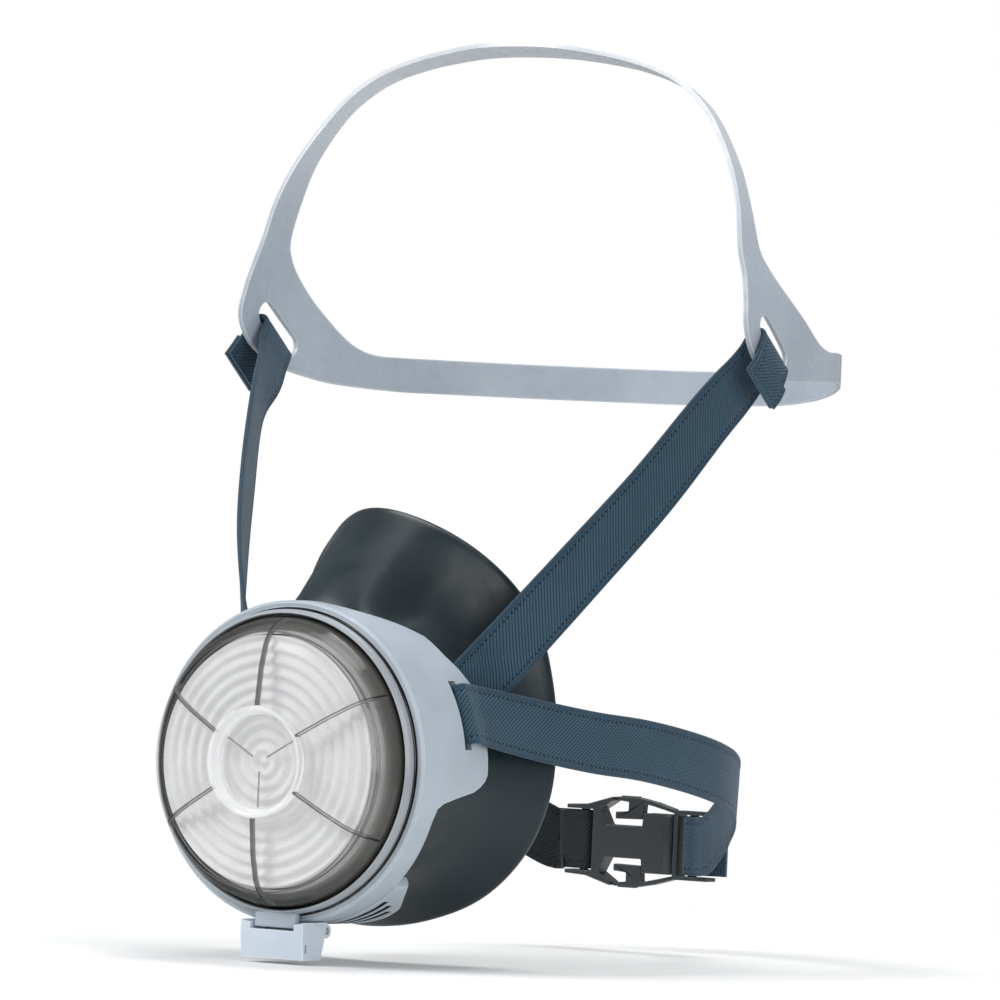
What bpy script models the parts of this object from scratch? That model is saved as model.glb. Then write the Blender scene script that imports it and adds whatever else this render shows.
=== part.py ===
"""Half-mask respirator with one front filter, a two-band head cradle and a buckled neck strap.

Run with: blender --background --python part.py
Lengths are in millimetres until MM turns them into Blender's metres.
+Z is up and -Y is forward, out through the filter. +X is the wearer's left.
The origin lies on the filter's axis, in the plane where the cheek seal meets the face.
Angles round the filter's axis run from +X towards +Z.
"""

import math

import bmesh
import bpy
from mathutils import Matrix, Vector

MM = 0.001

# ---- driving dimensions -------------------------------------------------------------
HOUSING_R = 46.5
HOUSING_WALL = 2.0
HOUSING_FRONT_Y = -61.9
FLANGE_BORE_R = 33.0
COLLAR_R = 37.0
COLLAR_BORE_R = 35.0
RUBBER_WALL = 2.0
RUBBER_COLLAR_R = 39.6
EAR_SLOT_Y = (-40.0, -36.4)
EAR_SLOT_ANGLES = (7.0, 33.0)
EAR_HINGE = (0.0, -38.2, 15.5)
CAP_EDGE_R = 37.0
CAP_HUB_R = 15.8
CAP_SLITS = 6
SLIT_WIDTH = 0.8
COVER_R = 46.9
COVER_WALL = 1.5
COVER_ANGLES = (-133.0, -47.0)
LOUVRES = ((-47.4, 30.0), (-42.4, 27.0), (-37.4, 22.0))
LOUVRE_WIDTH = 2.6
LATCH_PIN = (0.0, -54.3, -48.2)
LATCH_HALF_WIDTH = 10.8
PIN_R = 0.9
PIN_CLEARANCE = 0.25
EXHALE_Y = -37.6
EXHALE_R = 10.0
STRAP_WIDTH = 18.0
STRAP_THICK = 1.2
CRADLE_THICK = 1.5
CRADLE_BAR = (88.2, 50.3, 126.9)
CRADLE_SLOT = (88.2, 50.5, 127.2)
CRADLE_SLOT_DIR = (0.0, 0.787, -0.617)
CRADLE_SLOT_LENGTH = 22.0
CRADLE_SLOT_WIDTH = 7.0
CRADLE_SIDE_X = 90.2
CRADLE_BACK_Y = 159.0
CRADLE_MIDDLE_Y = 20.0
CRADLE_SQUARENESS = 2.4
CRADLE_WAIST = 1.3
CRADLE_WAIST_Y = (28.0, 100.0)
CRADLE_NARROWS_FROM_Z = 125.0
CRADLE_NARROWING = 0.0060
BAND_LOW_Z = 110.4
BAND_HEIGHT = 10.6
LEFT_LIFT = 5.5
LIFT_START_Y = 50.0
LEFT_STRAP_MIDDLE = (
    ((60.0, -3.0, 59.5), (0.36, 0.66, -0.65)), ((71.2, 14.0, 82.0), (0.28, 0.71, -0.64)),
    ((80.2, 29.6, 104.0), (0.18, 0.75, -0.62)),
)
RIGHT_STRAP_MIDDLE = (
    ((60.0, -3.0, 59.5), (0.30, 0.70, -0.65)), ((71.0, 14.2, 82.0), (0.27, 0.73, -0.63)),
    ((79.8, 30.2, 104.0), (0.30, 0.745, -0.60)),
)
LEFT_FOLD = ((-6.0, 91.2), (-9.5, 91.4), (-13.0, 91.4), (-16.8, 90.6))
RIGHT_FOLD = ((-6.0, 91.2), (-9.5, 91.5), (-13.0, 92.0), (-16.8, 92.8))
BUCKLE = (-6.0, 130.0, -24.5)
BUCKLE_THICK = 5.6

STEPS = 40
RING_STEPS = 48


# ---- collections, materials and objects ---------------------------------------------
def clear_scene():
    for obj in list(bpy.data.objects):
        bpy.data.objects.remove(obj, do_unlink=True)


def collection(name):
    made = bpy.data.collections.new(name)
    bpy.context.scene.collection.children.link(made)
    return made


def material(name, colour, roughness, alpha=1.0):
    made = bpy.data.materials.new(name)
    made.use_nodes = True
    shader = made.node_tree.nodes["Principled BSDF"]
    shader.inputs["Base Color"].default_value = (*colour, 1.0)
    shader.inputs["Roughness"].default_value = roughness
    shader.inputs["Metallic"].default_value = 0.0
    shader.inputs["Alpha"].default_value = alpha
    made.diffuse_color = (*colour, alpha)
    return made


def add_object(name, mesh, finish=None):
    """A finished part where a material is given, and otherwise a cutter."""
    obj = bpy.data.objects.new(name, mesh)
    if finish is None:
        CUTTERS.objects.link(obj)
        obj.hide_render = True
        obj.display_type = "WIRE"
    else:
        PARTS.objects.link(obj)
        mesh.materials.append(finish)
        mesh.shade_smooth()
        mesh.set_sharp_from_angle(angle=math.radians(35))
    return obj


def mesh_from(bm, name):
    mesh = bpy.data.meshes.new(name)
    bm.to_mesh(mesh)
    bm.free()
    return mesh


def pivot(name, place):
    """An empty on a joint's axis, which the pieces of one moving body hang from."""
    empty = bpy.data.objects.new(name, None)
    empty.empty_display_size = 8 * MM
    empty.location = Vector(place) * MM
    PARTS.objects.link(empty)
    return empty


def hang(empty, *pieces):
    for piece in pieces:
        piece.parent = empty
        piece.matrix_parent_inverse = Matrix.Translation(-empty.location)


# ---- curves through a few points ----------------------------------------------------
def catmull(points, t):
    """A point on the smooth curve through the points, with t from 0 to 1 over them all."""
    last = len(points) - 1
    place = min(max(t, 0.0), 1.0) * last
    i = min(int(place), last - 1)
    u = place - i
    p = [Vector(points[min(max(k, 0), last)]) for k in range(i - 1, i + 3)]
    return 0.5 * (
        2 * p[1]
        + (p[2] - p[0]) * u
        + (2 * p[0] - 5 * p[1] + 4 * p[2] - p[3]) * u * u
        + (3 * p[1] - p[0] - 3 * p[2] + p[3]) * u ** 3
    )


def smooth_through(points, each):
    """The points, with each gap between them split smoothly into a number of steps."""
    count = (len(points) - 1) * each
    return [catmull(points, k / count) for k in range(count + 1)]


def straight_value(keys, x):
    """Reads y at x from (x, y) keys in rising order of x, along straight lines."""
    for (x0, y0), (x1, y1) in zip(keys, keys[1:]):
        if x <= x1:
            return y0 + (y1 - y0) * (x - x0) / (x1 - x0)
    return keys[-1][1]


def smooth_value(keys, x):
    """As straight_value, but easing in and out of each key."""
    for (x0, y0), (x1, y1) in zip(keys, keys[1:]):
        if x <= x1:
            u = (x - x0) / (x1 - x0)
            return y0 + (y1 - y0) * u * u * (3 - 2 * u)
    return keys[-1][1]


def polar(radius, degrees, y):
    a = math.radians(degrees)
    return Vector((radius * math.cos(a), y, radius * math.sin(a)))


def mirrored(points):
    return [Vector((-p[0], p[1], p[2])) for p in points]


# ---- shapes -------------------------------------------------------------------------
def turned(name, profile, finish=None, closed=True, steps=STEPS, down=False, place=(0, 0, 0)):
    """A turned shape from (radius, height) points. Height is forward, or up where down is set."""
    points = list(profile)
    area = sum(a[0] * b[1] - b[0] * a[1] for a, b in zip(points, points[1:] + points[:1]))
    if area > 0:
        points.reverse()
    bm = bmesh.new()
    verts = [bm.verts.new((r * MM, 0, h * MM)) for r, h in points]
    for a, b in zip(verts, verts[1:]):
        bm.edges.new((a, b))
    if closed:
        bm.edges.new((verts[-1], verts[0]))
    obj = add_object(name, mesh_from(bm, name), finish)
    screw = obj.modifiers.new("turn", "SCREW")
    screw.axis = "Z"
    screw.steps = steps
    screw.render_steps = steps
    screw.use_merge_vertices = True
    screw.merge_threshold = 0.000001
    screw.use_smooth_shade = True
    obj.location = Vector(place) * MM
    if not down:
        obj.rotation_euler = (math.pi / 2, 0, 0)
    return obj


def shell(name, rows, thickness, finish=None, closed=False, offset=0.0):
    """An open surface through rows of points, thickened into a solid."""
    bm = bmesh.new()
    grid = [[bm.verts.new(Vector(p) * MM) for p in row] for row in rows]
    for upper, lower in zip(grid, grid[1:]):
        count = len(upper)
        for i in range(count if closed else count - 1):
            j = (i + 1) % count
            bm.faces.new((upper[i], upper[j], lower[j], lower[i]))
    obj = add_object(name, mesh_from(bm, name), finish)
    thick = obj.modifiers.new("wall", "SOLIDIFY")
    thick.thickness = thickness * MM
    thick.offset = offset
    thick.use_even_offset = True
    return obj


def arc_sheet(name, radius, thickness, angles, ys, steps=6):
    """A block bent round the filter's axis, between two angles and two depths."""
    turn = [angles[0] + (angles[1] - angles[0]) * k / steps for k in range(steps + 1)]
    rows = [[polar(radius, a, y) for a in turn] for y in ys]
    return shell(name, rows, thickness)


def plate(name, outline, thickness, finish=None, place=(0, 0, 0)):
    """A flat outline in X and Z, with its thickness shared between the two sides of y = 0."""
    bm = bmesh.new()
    bm.faces.new([bm.verts.new((x * MM, 0, z * MM)) for x, z in outline])
    obj = add_object(name, mesh_from(bm, name), finish)
    thick = obj.modifiers.new("thickness", "SOLIDIFY")
    thick.thickness = thickness * MM
    thick.offset = 0.0
    obj.location = Vector(place) * MM
    return obj


def box(name, low, high, finish=None, turn_x=0.0):
    bm = bmesh.new()
    size = [(b - a) * MM for a, b in zip(low, high)]
    bmesh.ops.create_cube(bm, size=1.0, matrix=Matrix.Diagonal((*size, 1)))
    obj = add_object(name, mesh_from(bm, name), finish)
    obj.location = [(a + b) / 2 * MM for a, b in zip(low, high)]
    obj.rotation_euler = (turn_x, 0, 0)
    return obj


def rod(name, radius, start, end, finish=None, sides=16):
    start, end = Vector(start) * MM, Vector(end) * MM
    bm = bmesh.new()
    bmesh.ops.create_cone(
        bm, cap_ends=True, segments=sides, radius1=radius * MM, radius2=radius * MM,
        depth=(end - start).length,
    )
    obj = add_object(name, mesh_from(bm, name), finish)
    obj.location = (start + end) / 2
    obj.rotation_euler = (end - start).to_track_quat("Z", "Y").to_euler()
    return obj


def cut(obj, *cutters):
    for cutter in cutters:
        modifier = obj.modifiers.new("cut " + cutter.name, "BOOLEAN")
        modifier.operation = "DIFFERENCE"
        modifier.object = cutter


def join(obj, *others):
    for other in others:
        modifier = obj.modifiers.new("join " + other.name, "BOOLEAN")
        modifier.operation = "UNION"
        modifier.object = other


# ---- filter cover: clear cap and its retaining ring ---------------------------------
def filter_cap(finish):
    """A domed cap with a sunk hub, slit from the hub over its edge to let air in."""
    profile = (
        (0.0, 77.6), (2.4, 76.5), (13.3, 76.5), (14.7, 79.7), (CAP_HUB_R, 80.0), (27.0, 78.7),
        (34.0, 76.8), (CAP_EDGE_R, 75.0), (39.8, 71.6), (41.4, 67.2), (42.1, 62.4), (43.9, 62.3),
        (43.9, 60.8), (40.5, 60.8), (39.9, 66.4), (38.3, 71.0), (35.9, 73.8), (33.5, 75.2),
        (27.0, 77.0), (16.3, 78.3), (14.9, 75.1), (0.0, 75.1),
    )
    cap = turned("filter_cap", profile, finish, closed=False)
    for k in range(CAP_SLITS // 2):
        slit = slit_pair(f"slit_{k}", math.radians(30 + 60 * k))
        cut(cap, slit)
    return cap


def slit_pair(name, angle):
    """Two thin blades in one line across the cap, which leave the hub whole."""
    inner_r, outer_r = CAP_HUB_R + 0.4, 44.0
    front_y, rear_y = -81.5, -66.0
    size = Vector((outer_r - inner_r, rear_y - front_y, SLIT_WIDTH)) * MM
    bm = bmesh.new()
    for side in (1, -1):
        middle = Vector((side * (inner_r + outer_r) / 2, (front_y + rear_y) / 2, 0)) * MM
        turn = Matrix.Rotation(-angle, 4, "Y")
        blade = turn @ Matrix.Translation(middle) @ Matrix.Diagonal((*size, 1))
        bmesh.ops.create_cube(bm, size=1.0, matrix=blade)
    return add_object(name, mesh_from(bm, name))


def retaining_ring(finish):
    """A ring in front of the cap's rim, with a tab at the bottom that the latch holds."""
    profile = ((42.5, 62.8), (42.5, 65.5), (42.9, 65.9), (43.9, 64.6), (43.9, 62.8))
    ring = turned("retaining_ring", profile, finish, steps=RING_STEPS)
    join(ring, box("ring_tab", (-7.0, -65.6, -47.6), (7.0, -62.8, -43.0)))
    return ring


# ---- filter --------------------------------------------------------------------------
def filter_media(finish):
    """A disc of paper in round pleats."""
    pleats = 6
    edge_r = 36.3
    front = [(edge_r * k / (2 * pleats), 74.7 if k % 2 == 0 else 71.4) for k in range(2 * pleats)]
    front += [(edge_r, 72.6), (edge_r, 62.0), (0.0, 62.0)]
    return turned("filter_media", front, finish, closed=False, steps=32)


def filter_frame(finish):
    profile = ((36.7, 69.6), (37.8, 68.6), (37.8, 60.4), (43.8, 60.4), (43.8, 59.2), (36.7, 59.2))
    frame = turned("filter_frame", profile, finish)
    for k in range(2):
        bar = box(f"frame_bar_{k}", (-37.2, -61.4, -1.0), (37.2, -59.6, 1.0))
        bar.rotation_euler = (0, math.pi / 2 * k, 0)
        join(frame, bar)
    return frame


def filter_gasket(finish):
    profile = ((37.5, 58.9), (43.4, 58.9), (43.4, 58.2), (37.5, 58.2))
    return turned("filter_gasket", profile, finish)


# ---- housing --------------------------------------------------------------------------
def housing_rear_edge(degrees):
    """How far back the housing's wall reaches, with an ear on each side."""
    right = degrees if abs(degrees) <= 90 else math.copysign(180, degrees) - degrees
    keys = (
        (-90, -52.0), (-48, -51.6), (-40, -51.8), (-19, -52.6), (-13, -51.4), (-10.5, -45.0),
        (-9, -36.4), (-6.5, -31.6), (-3, -28.2), (32, -28.8), (38, -31.0), (44, -33.6), (54, -35.4),
        (61, -41.0), (71, -51.0), (79, -55.6), (90, -56.2),
    )
    return straight_value(keys, right)


def housing_angles():
    right = [-90, -80, -70, -60, -48, -40, -30, -19, -13, -10.5, -9, -6.5, -3, 4, 11, 18, 25, 32]
    right += [38, 44, 49, 54, 61, 66, 71, 79, 90]
    left = [180 - a for a in reversed(right[1:-1])]
    return right + left


def front_housing(finish):
    """A short tube with two strap ears, a filter seat, a collar for the rubber and a latch lug."""
    around = housing_angles()
    ends = [(a, housing_rear_edge(a if a <= 180 else a - 360)) for a in around]
    middle = HOUSING_R - HOUSING_WALL / 2
    rows = [
        [polar(middle, a, HOUSING_FRONT_Y + (rear - HOUSING_FRONT_Y) * part) for a, rear in ends]
        for part in (0.0, 0.4, 1.0)
    ]
    housing = shell("front_housing", rows, HOUSING_WALL, finish, closed=True)
    core = (
        (FLANGE_BORE_R, 57.9), (45.4, 57.9), (45.4, 55.9), (COLLAR_R, 55.9), (COLLAR_R, 49.4),
        (COLLAR_BORE_R, 49.4), (COLLAR_BORE_R, 56.1), (FLANGE_BORE_R, 56.1),
    )
    join(housing, turned("housing_core", core, steps=RING_STEPS))
    join(housing, box("latch_lug", (-8.2, -56.4, -50.2), (8.2, -52.3, -45.0)))
    cut(housing, latch_pin_bore("lug_bore"))
    for side, flip in (("left", 0), ("right", 180)):
        angles = [a if not flip else flip - a for a in EAR_SLOT_ANGLES]
        slot = arc_sheet(f"{side}_ear_slot", HOUSING_R - 1, 7.0, sorted(angles), EAR_SLOT_Y)
        cut(housing, slot)
    return housing


# ---- latch ------------------------------------------------------------------------------
def latch_pin_bore(name):
    x, y, z = LATCH_PIN
    return rod(name, PIN_R + PIN_CLEARANCE, (x - 20, y, z), (x + 20, y, z))


def latch(finish):
    """A hollow lever on a cross pin, with a window that the ring's tab sits in."""
    side = (
        (-66.8, -43.6), (-66.8, -50.0), (-66.0, -56.5), (-57.2, -56.5), (-55.4, -50.3),
        (-54.3, -50.3), (-52.8, -49.7), (-52.2, -48.2), (-52.8, -46.7), (-54.3, -46.1),
        (-54.3, -43.6),
    )
    x0 = -LATCH_HALF_WIDTH
    bm = bmesh.new()
    bm.faces.new([bm.verts.new((0, y * MM, z * MM)) for y, z in side])
    lever = add_object("latch", mesh_from(bm, "latch"), finish)
    thick = lever.modifiers.new("width", "SOLIDIFY")
    thick.thickness = -2 * x0 * MM
    thick.offset = 0.0
    cut(lever, rod("ring_room", 47.0, (0, -70, 0), (0, -50, 0), sides=64))
    cut(lever, box("latch_hollow", (-8.6, -64.2, -54.8), (8.6, -50.0, -40.0)))
    cut(lever, box("latch_window", (-7.6, -69.0, -48.2), (7.6, -61.8, -40.0)))
    cut(lever, latch_pin_bore("latch_bore"))
    cut(lever, box("latch_grip", (-13.0, -65.4, -54.6), (13.0, -64.4, -52.0)))
    return lever


def latch_pin(finish):
    x, y, z = LATCH_PIN
    reach = LATCH_HALF_WIDTH - 0.4
    return rod("latch_pin", PIN_R, (x - reach, y, z), (x + reach, y, z), finish)


# ---- face-piece -------------------------------------------------------------------------
def seal_outline(degrees):
    """Radius and depth of the face-piece's widest line, from chin (-90) over cheek to nose (90)."""
    right = degrees if abs(degrees) <= 90 else math.copysign(180, degrees) - degrees
    keys = (
        (-90, 48.2, -17.4), (-70, 49.0, -12.8), (-50, 50.2, -6.2), (-30, 49.6, -0.4),
        (-10, 49.4, 2.2), (10, 50.6, 2.6), (30, 54.4, 3.0), (50, 62.2, 0.6), (70, 69.8, -9.8),
        (90, 74.8, -21.6),
    )
    place = (right + 90) / 20
    i = min(int(place), len(keys) - 2)
    before = keys[max(i - 1, 0)] if i > 0 else (-110, *keys[1][1:])
    after = keys[i + 2] if i + 2 < len(keys) else (110, *keys[-2][1:])
    point = catmull([before, keys[i], keys[i + 1], after], (1 + place - i) / 3)
    return point[1], point[2]


def face_flare(degrees):
    """How late the wall turns outwards: a straight slope at the nose, a late flare at the cheeks."""
    right = degrees if abs(degrees) <= 90 else math.copysign(180, degrees) - degrees
    keys = ((-90, 2.2), (-50, 3.0), (48, 3.0), (68, 2.4), (73, 1.3), (77, 0.92), (90, 0.88))
    return smooth_value(keys, right)


def facepiece_rows(columns):
    """Rows of points from the collar, out over the flare and crest, to the turned-in lip."""
    around = [360 * k / columns for k in range(columns)]
    rows = [[polar(RUBBER_COLLAR_R, a, y) for a in around] for y in (-54.6, -50.6)]
    wall_start_y = -49.2
    for part in (0.0, 0.15, 0.35, 0.55, 0.72, 0.86, 0.95, 1.0):
        row = []
        for a in around:
            turn = a if a <= 180 else a - 360
            out, back = seal_outline(turn)
            start = 40.1 + 5.1 * max(0.0, math.sin(math.radians(a))) ** 4
            radius = start + (out - start) * part ** face_flare(turn)
            row.append(polar(radius, a, wall_start_y + (back - wall_start_y) * part))
        rows.append(row)
    for inward, backward in ((0.9, 2.2), (3.4, 3.6), (8.0, 2.8), (12.5, -0.6)):
        row = []
        for a in around:
            out, back = seal_outline(a if a <= 180 else a - 360)
            row.append(polar(out - inward, a, back + backward))
        rows.append(row)
    return rows


def facepiece(finish):
    body = shell("facepiece", facepiece_rows(40), RUBBER_WALL, finish, closed=True, offset=1.0)
    hole_r = EXHALE_R + 0.4
    cut(body, rod("exhale_hole", hole_r, (0, EXHALE_Y, -30), (0, EXHALE_Y, -48), sides=32))
    return body


def clamp_ring(finish):
    profile = ((39.95, 54.4), (41.6, 54.4), (41.6, 50.9), (39.95, 50.9))
    return turned("facepiece_clamp_ring", profile, finish)


# ---- valves -------------------------------------------------------------------------------
def inhalation_seat(finish):
    """A spoked disc in the housing's collar, which the inhalation flap shuts."""
    profile = ((2.3, 55.6), (34.7, 55.6), (34.7, 53.9), (2.3, 53.9))
    seat = turned("inhalation_valve_seat", profile, finish)
    for k in range(6):
        middle = 60 * k
        inner = [polar(7.0, middle + a, -54.7) for a in (-18, -6, 6, 18)]
        outer = [polar(24.0, middle + a, -54.7) for a in (-25, -8, 8, 25)]
        window = shell(f"seat_window_{k}", [inner, outer], 6.0)
        cut(seat, window)
    return seat


def inhalation_flap(finish):
    profile = ((2.5, 53.3), (27.0, 53.3), (27.0, 52.5), (2.5, 52.5))
    return turned("inhalation_valve", profile, finish)


def inhalation_stud(finish):
    profile = (
        (0.0, 57.2), (3.4, 57.0), (3.8, 56.0), (1.9, 55.9), (1.9, 50.4), (4.2, 50.3), (3.4, 49.3),
        (0.0, 49.0),
    )
    return turned("inhalation_valve_stud", profile, finish, closed=False, steps=24)


def exhalation_seat(finish):
    """A short tube in the chin of the rubber with a spoked mouth."""
    place = (0, EXHALE_Y, 0)
    profile = (
        (8.4, -36.4), (EXHALE_R, -36.4), (EXHALE_R, -41.2), (8.4, -41.2),
    )
    seat = turned("exhalation_valve_seat", profile, finish, down=True, place=place, steps=32)
    join(seat, rod("exhale_hub", 2.6, (0, EXHALE_Y, -38.6), (0, EXHALE_Y, -41.2)))
    for k in range(3):
        spoke = box(f"exhale_spoke_{k}", (-9.0, EXHALE_Y - 0.6, -40.9), (9.0, EXHALE_Y + 0.6, -39.1))
        spoke.rotation_euler = (0, 0, math.pi / 3 * k)
        join(seat, spoke)
    cut(seat, rod("exhale_bore", 1.5, (0, EXHALE_Y, -35), (0, EXHALE_Y, -45)))
    return seat


def exhalation_flap(finish):
    profile = ((1.6, -41.5), (9.0, -41.5), (8.6, -42.3), (1.6, -42.3))
    place = (0, EXHALE_Y, 0)
    return turned("exhalation_valve", profile, finish, down=True, place=place, steps=32)


def exhalation_stud(finish):
    profile = (
        (0.0, -37.2), (2.2, -37.4), (2.2, -38.3), (1.2, -38.4), (1.2, -44.2), (2.2, -44.3),
        (2.0, -45.0), (0.0, -45.0),
    )
    place = (0, EXHALE_Y, 0)
    return turned(
        "exhalation_valve_stud", profile, finish, closed=False, down=True, place=place, steps=16
    )


def cover_rear_edge(degrees):
    """How far back the shield reaches: less at its two ends."""
    right = degrees if abs(degrees) <= 90 else math.copysign(180, degrees) - degrees
    return straight_value(((-90, -29.6), (-72, -29.6), (-62, -33.0), (-54, -39.6), (-46, -45.0)), right)


def exhalation_cover(finish):
    """A louvred shield under the chin that keeps knocks and spray off the exhalation valve."""
    first, last = COVER_ANGLES
    steps = 14
    around = [first + (last - first) * k / steps for k in range(steps + 1)]
    rears = [cover_rear_edge(a) for a in around]
    rows = []
    outline = ((43.9, 0.0, 0.4), (COVER_R, 0.0, 0.0), (COVER_R, 1.0, -1.0), (45.6, 1.0, 0.6))
    for radius, part, beyond in outline:
        ys = [-51.4 + (rear + 51.4) * part + beyond for rear in rears]
        row = [polar(radius, a, y) for a, y in zip(around, ys)]
        row.insert(0, polar(43.9, first - 0.8, ys[0]))
        row.append(polar(43.9, last + 0.8, ys[-1]))
        rows.append(row)
    cover = shell("exhalation_cover", rows, COVER_WALL, finish, offset=1.0)
    for k, (y, reach) in enumerate(LOUVRES):
        for side, angles in (("left", (-86, reach - 86)), ("right", (-94 - reach, -94))):
            ys = (y - LOUVRE_WIDTH / 2, y + LOUVRE_WIDTH / 2)
            cut(cover, arc_sheet(f"{side}_louvre_{k}", COVER_R, 7.0, angles, ys))
    return cover


# ---- head cradle --------------------------------------------------------------------------
def share(value, low, high):
    """How far value is from low to high, kept between 0 and 1."""
    return min(max((value - low) / (high - low), 0.0), 1.0)


def cradle_half_width(y):
    """Half the cradle's width at its lower band: squarer than an ellipse, drawn in behind the slots."""
    part = share(y, CRADLE_MIDDLE_Y, CRADLE_BACK_Y)
    drawn_in = CRADLE_WAIST * math.sin(math.pi * share(y, *CRADLE_WAIST_Y))
    power = CRADLE_SQUARENESS
    return CRADLE_SIDE_X * (1 - part ** power) ** (1 / power) - drawn_in


def cradle_side_x(y, z):
    """Half the cradle's width at a place on its side, which narrows upwards."""
    over = max(z - CRADLE_NARROWS_FROM_Z, 0.0)
    return cradle_half_width(y) - CRADLE_NARROWING * over * over


def cradle_lift(y, height, k):
    """How far the soft band rides up on its way to the back, at the k-th point up from its lower edge."""
    rise = height * math.sin(math.pi * share(y, LIFT_START_Y, CRADLE_BACK_Y))
    return rise * (1.3 - 0.1 * k)


def cradle_stations(lift):
    """Outer and inner edge of one half of the band, from its top to the back of the head."""
    stations = []
    crown = (
        (0.0, 47.0, 212.7, 8.0, 21.0, 0.0), (13.0, 47.2, 212.3, 8.0, 20.0, 0.03),
        (25.0, 49.2, 211.0, 7.8, 18.0, 0.06), (38.0, 50.6, 208.6, 7.4, 16.0, 0.09),
        (50.4, 50.6, 204.6, 6.8, 14.0, 0.12), (59.6, 49.6, 199.0, 6.4, 12.0, 0.14),
        (67.2, 48.2, 191.6, 6.4, 8.0, 0.15), (75.6, 45.6, 178.8, 7.8, 4.0, 0.18),
        (80.6, 43.6, 166.5, 10.0, 0.0, 0.20),
    )
    for x, y, z, width, tilt, lean in crown:
        a = math.radians(tilt)
        half = Vector((-lean, math.cos(a), -math.sin(a))) * width / 2
        middle = Vector((x, y, z))
        stations.append([middle + half * k for k in (-1, -0.33, 0.33, 1)])
    side = (
        ((36.3, 154.5), (48.4, 154.8)), ((35.4, 147.0), (51.4, 149.2)), ((34.0, 139.5), (56.4, 144.0)),
        ((33.2, 130.5), (65.0, 137.0)), ((39.0, 122.2), (73.0, 131.4)), ((51.0, 116.4), (80.0, 126.6)),
        ((65.0, 113.4), (87.0, 123.0)), ((79.0, 111.6), (95.0, 121.2)),
    )
    for outer, inner in side:
        row = []
        for k in range(4):
            y = outer[0] + (inner[0] - outer[0]) * k / 3
            z = outer[1] + (inner[1] - outer[1]) * k / 3
            row.append(Vector((cradle_side_x(y, z), y, z + cradle_lift(y, lift, k))))
        stations.append(row)
    for degrees in (33, 40, 48, 57, 66, 77, 90):
        depth = math.sin(math.radians(degrees)) ** (2 / CRADLE_SQUARENESS)
        y = CRADLE_MIDDLE_Y + (CRADLE_BACK_Y - CRADLE_MIDDLE_Y) * depth
        x = cradle_half_width(y)
        zs = [BAND_LOW_Z + BAND_HEIGHT * k / 3 + cradle_lift(y, lift, k) for k in range(4)]
        stations.append([Vector((x, y, z)) for z in zs])
    return stations


def head_cradle(finish):
    half = cradle_stations(LEFT_LIFT)
    other = [mirrored(row) for row in reversed(cradle_stations(0.0)[1:-1])]
    ring = half + other
    rows = [[station[k] for station in ring] for k in range(4)]
    cradle = shell("head_cradle", rows, CRADLE_THICK, finish, closed=True)
    along = Vector(CRADLE_SLOT_DIR)
    lean = math.atan2(along.z, along.y)
    for side in (1, -1):
        x, y, z = CRADLE_SLOT
        low = (side * x - 8, y - CRADLE_SLOT_LENGTH / 2, z - CRADLE_SLOT_WIDTH / 2)
        high = (side * x + 8, y + CRADLE_SLOT_LENGTH / 2, z + CRADLE_SLOT_WIDTH / 2)
        cut(cradle, box(f"cradle_slot_{side}", low, high, turn_x=lean))
    return cradle


# ---- straps -------------------------------------------------------------------------------
def webbing(name, points, across, finish, each=3):
    """Flat elastic webbing along points, lying in the width direction given at each point."""
    path = smooth_through(points, each)
    widths = smooth_through(across, each)
    rows = [[], [], []]
    for k, (place, width) in enumerate(zip(path, widths)):
        ahead = path[min(k + 1, len(path) - 1)] - path[max(k - 1, 0)]
        ahead.normalize()
        flat = (width - ahead * width.dot(ahead)).normalized()
        for row, side in zip(rows, (-1, 0, 1)):
            row.append(place + flat * side * STRAP_WIDTH / 2)
    return shell(name, rows, STRAP_THICK, finish)


def loop_point(run, x):
    """A point by the bar below the slot: run is up along the strap from the bar, x is outwards."""
    _, y, z = CRADLE_BAR
    return (x, y + 0.617 * run, z + 0.787 * run)


def upper_strap_route(middle, fold):
    """From behind the ear up to the cradle, out through its slot and back down over the bar."""
    start = [
        (39.5, -39.3, 14.3), (38.3, -33.8, 17.3), (36.8, -27.4, 21.0), (40.5, -21.2, 28.4),
        (47.8, -18.0, 37.6),
    ]
    loop = [(-16, 83.0), (-9.0, 84.8), (-5.4, 85.3), (-2.5, 85.9), (-1.3, 88.2), (-2.5, 90.4), *fold]
    points = start + [place for place, _ in middle] + [loop_point(run, x) for run, x in loop]
    across = [
        (0.34, 0.0, -0.94), (0.40, 0.30, -0.86), (0.44, 0.44, -0.78), (0.44, 0.55, -0.71),
        (0.44, 0.61, -0.66),
    ]
    across += [width for _, width in middle]
    across += [(0.08, 0.77, -0.62)] + [CRADLE_SLOT_DIR] * (len(loop) - 1)
    return points, across


def lower_strap_route():
    """From the ear's slot, round the neck to just short of the buckle."""
    points = [
        (42.6, -38.6, 15.5), (44.1, -38.3, 16.0), (45.2, -36.6, 16.3), (45.2, -33.0, 16.0),
        (46.0, -28.0, 15.0), (51.6, -9.0, 11.6), (57.4, 11.0, 8.6), (62.0, 31.0, 6.6), (65.0, 51.4, 3.4),
        (65.2, 69.0, 0.0), (61.2, 84.4, -3.4), (53.6, 98.4, -8.0), (43.0, 111.5, -14.0),
    ]
    across = [
        (0.34, 0.0, -0.94), (0.34, 0.0, -0.94), (0.34, 0.0, -0.94), (0.34, 0.02, -0.94),
        (0.30, 0.06, -0.95), (0.16, 0.14, -0.98), (0.08, 0.14, -0.98), (0.03, 0.14, -0.98),
        (-0.02, 0.16, -0.98), (-0.04, 0.14, -0.98), (-0.08, 0.12, -0.98), (-0.10, 0.10, -0.98),
        (-0.08, 0.06, -0.99),
    ]
    return points, across


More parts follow.
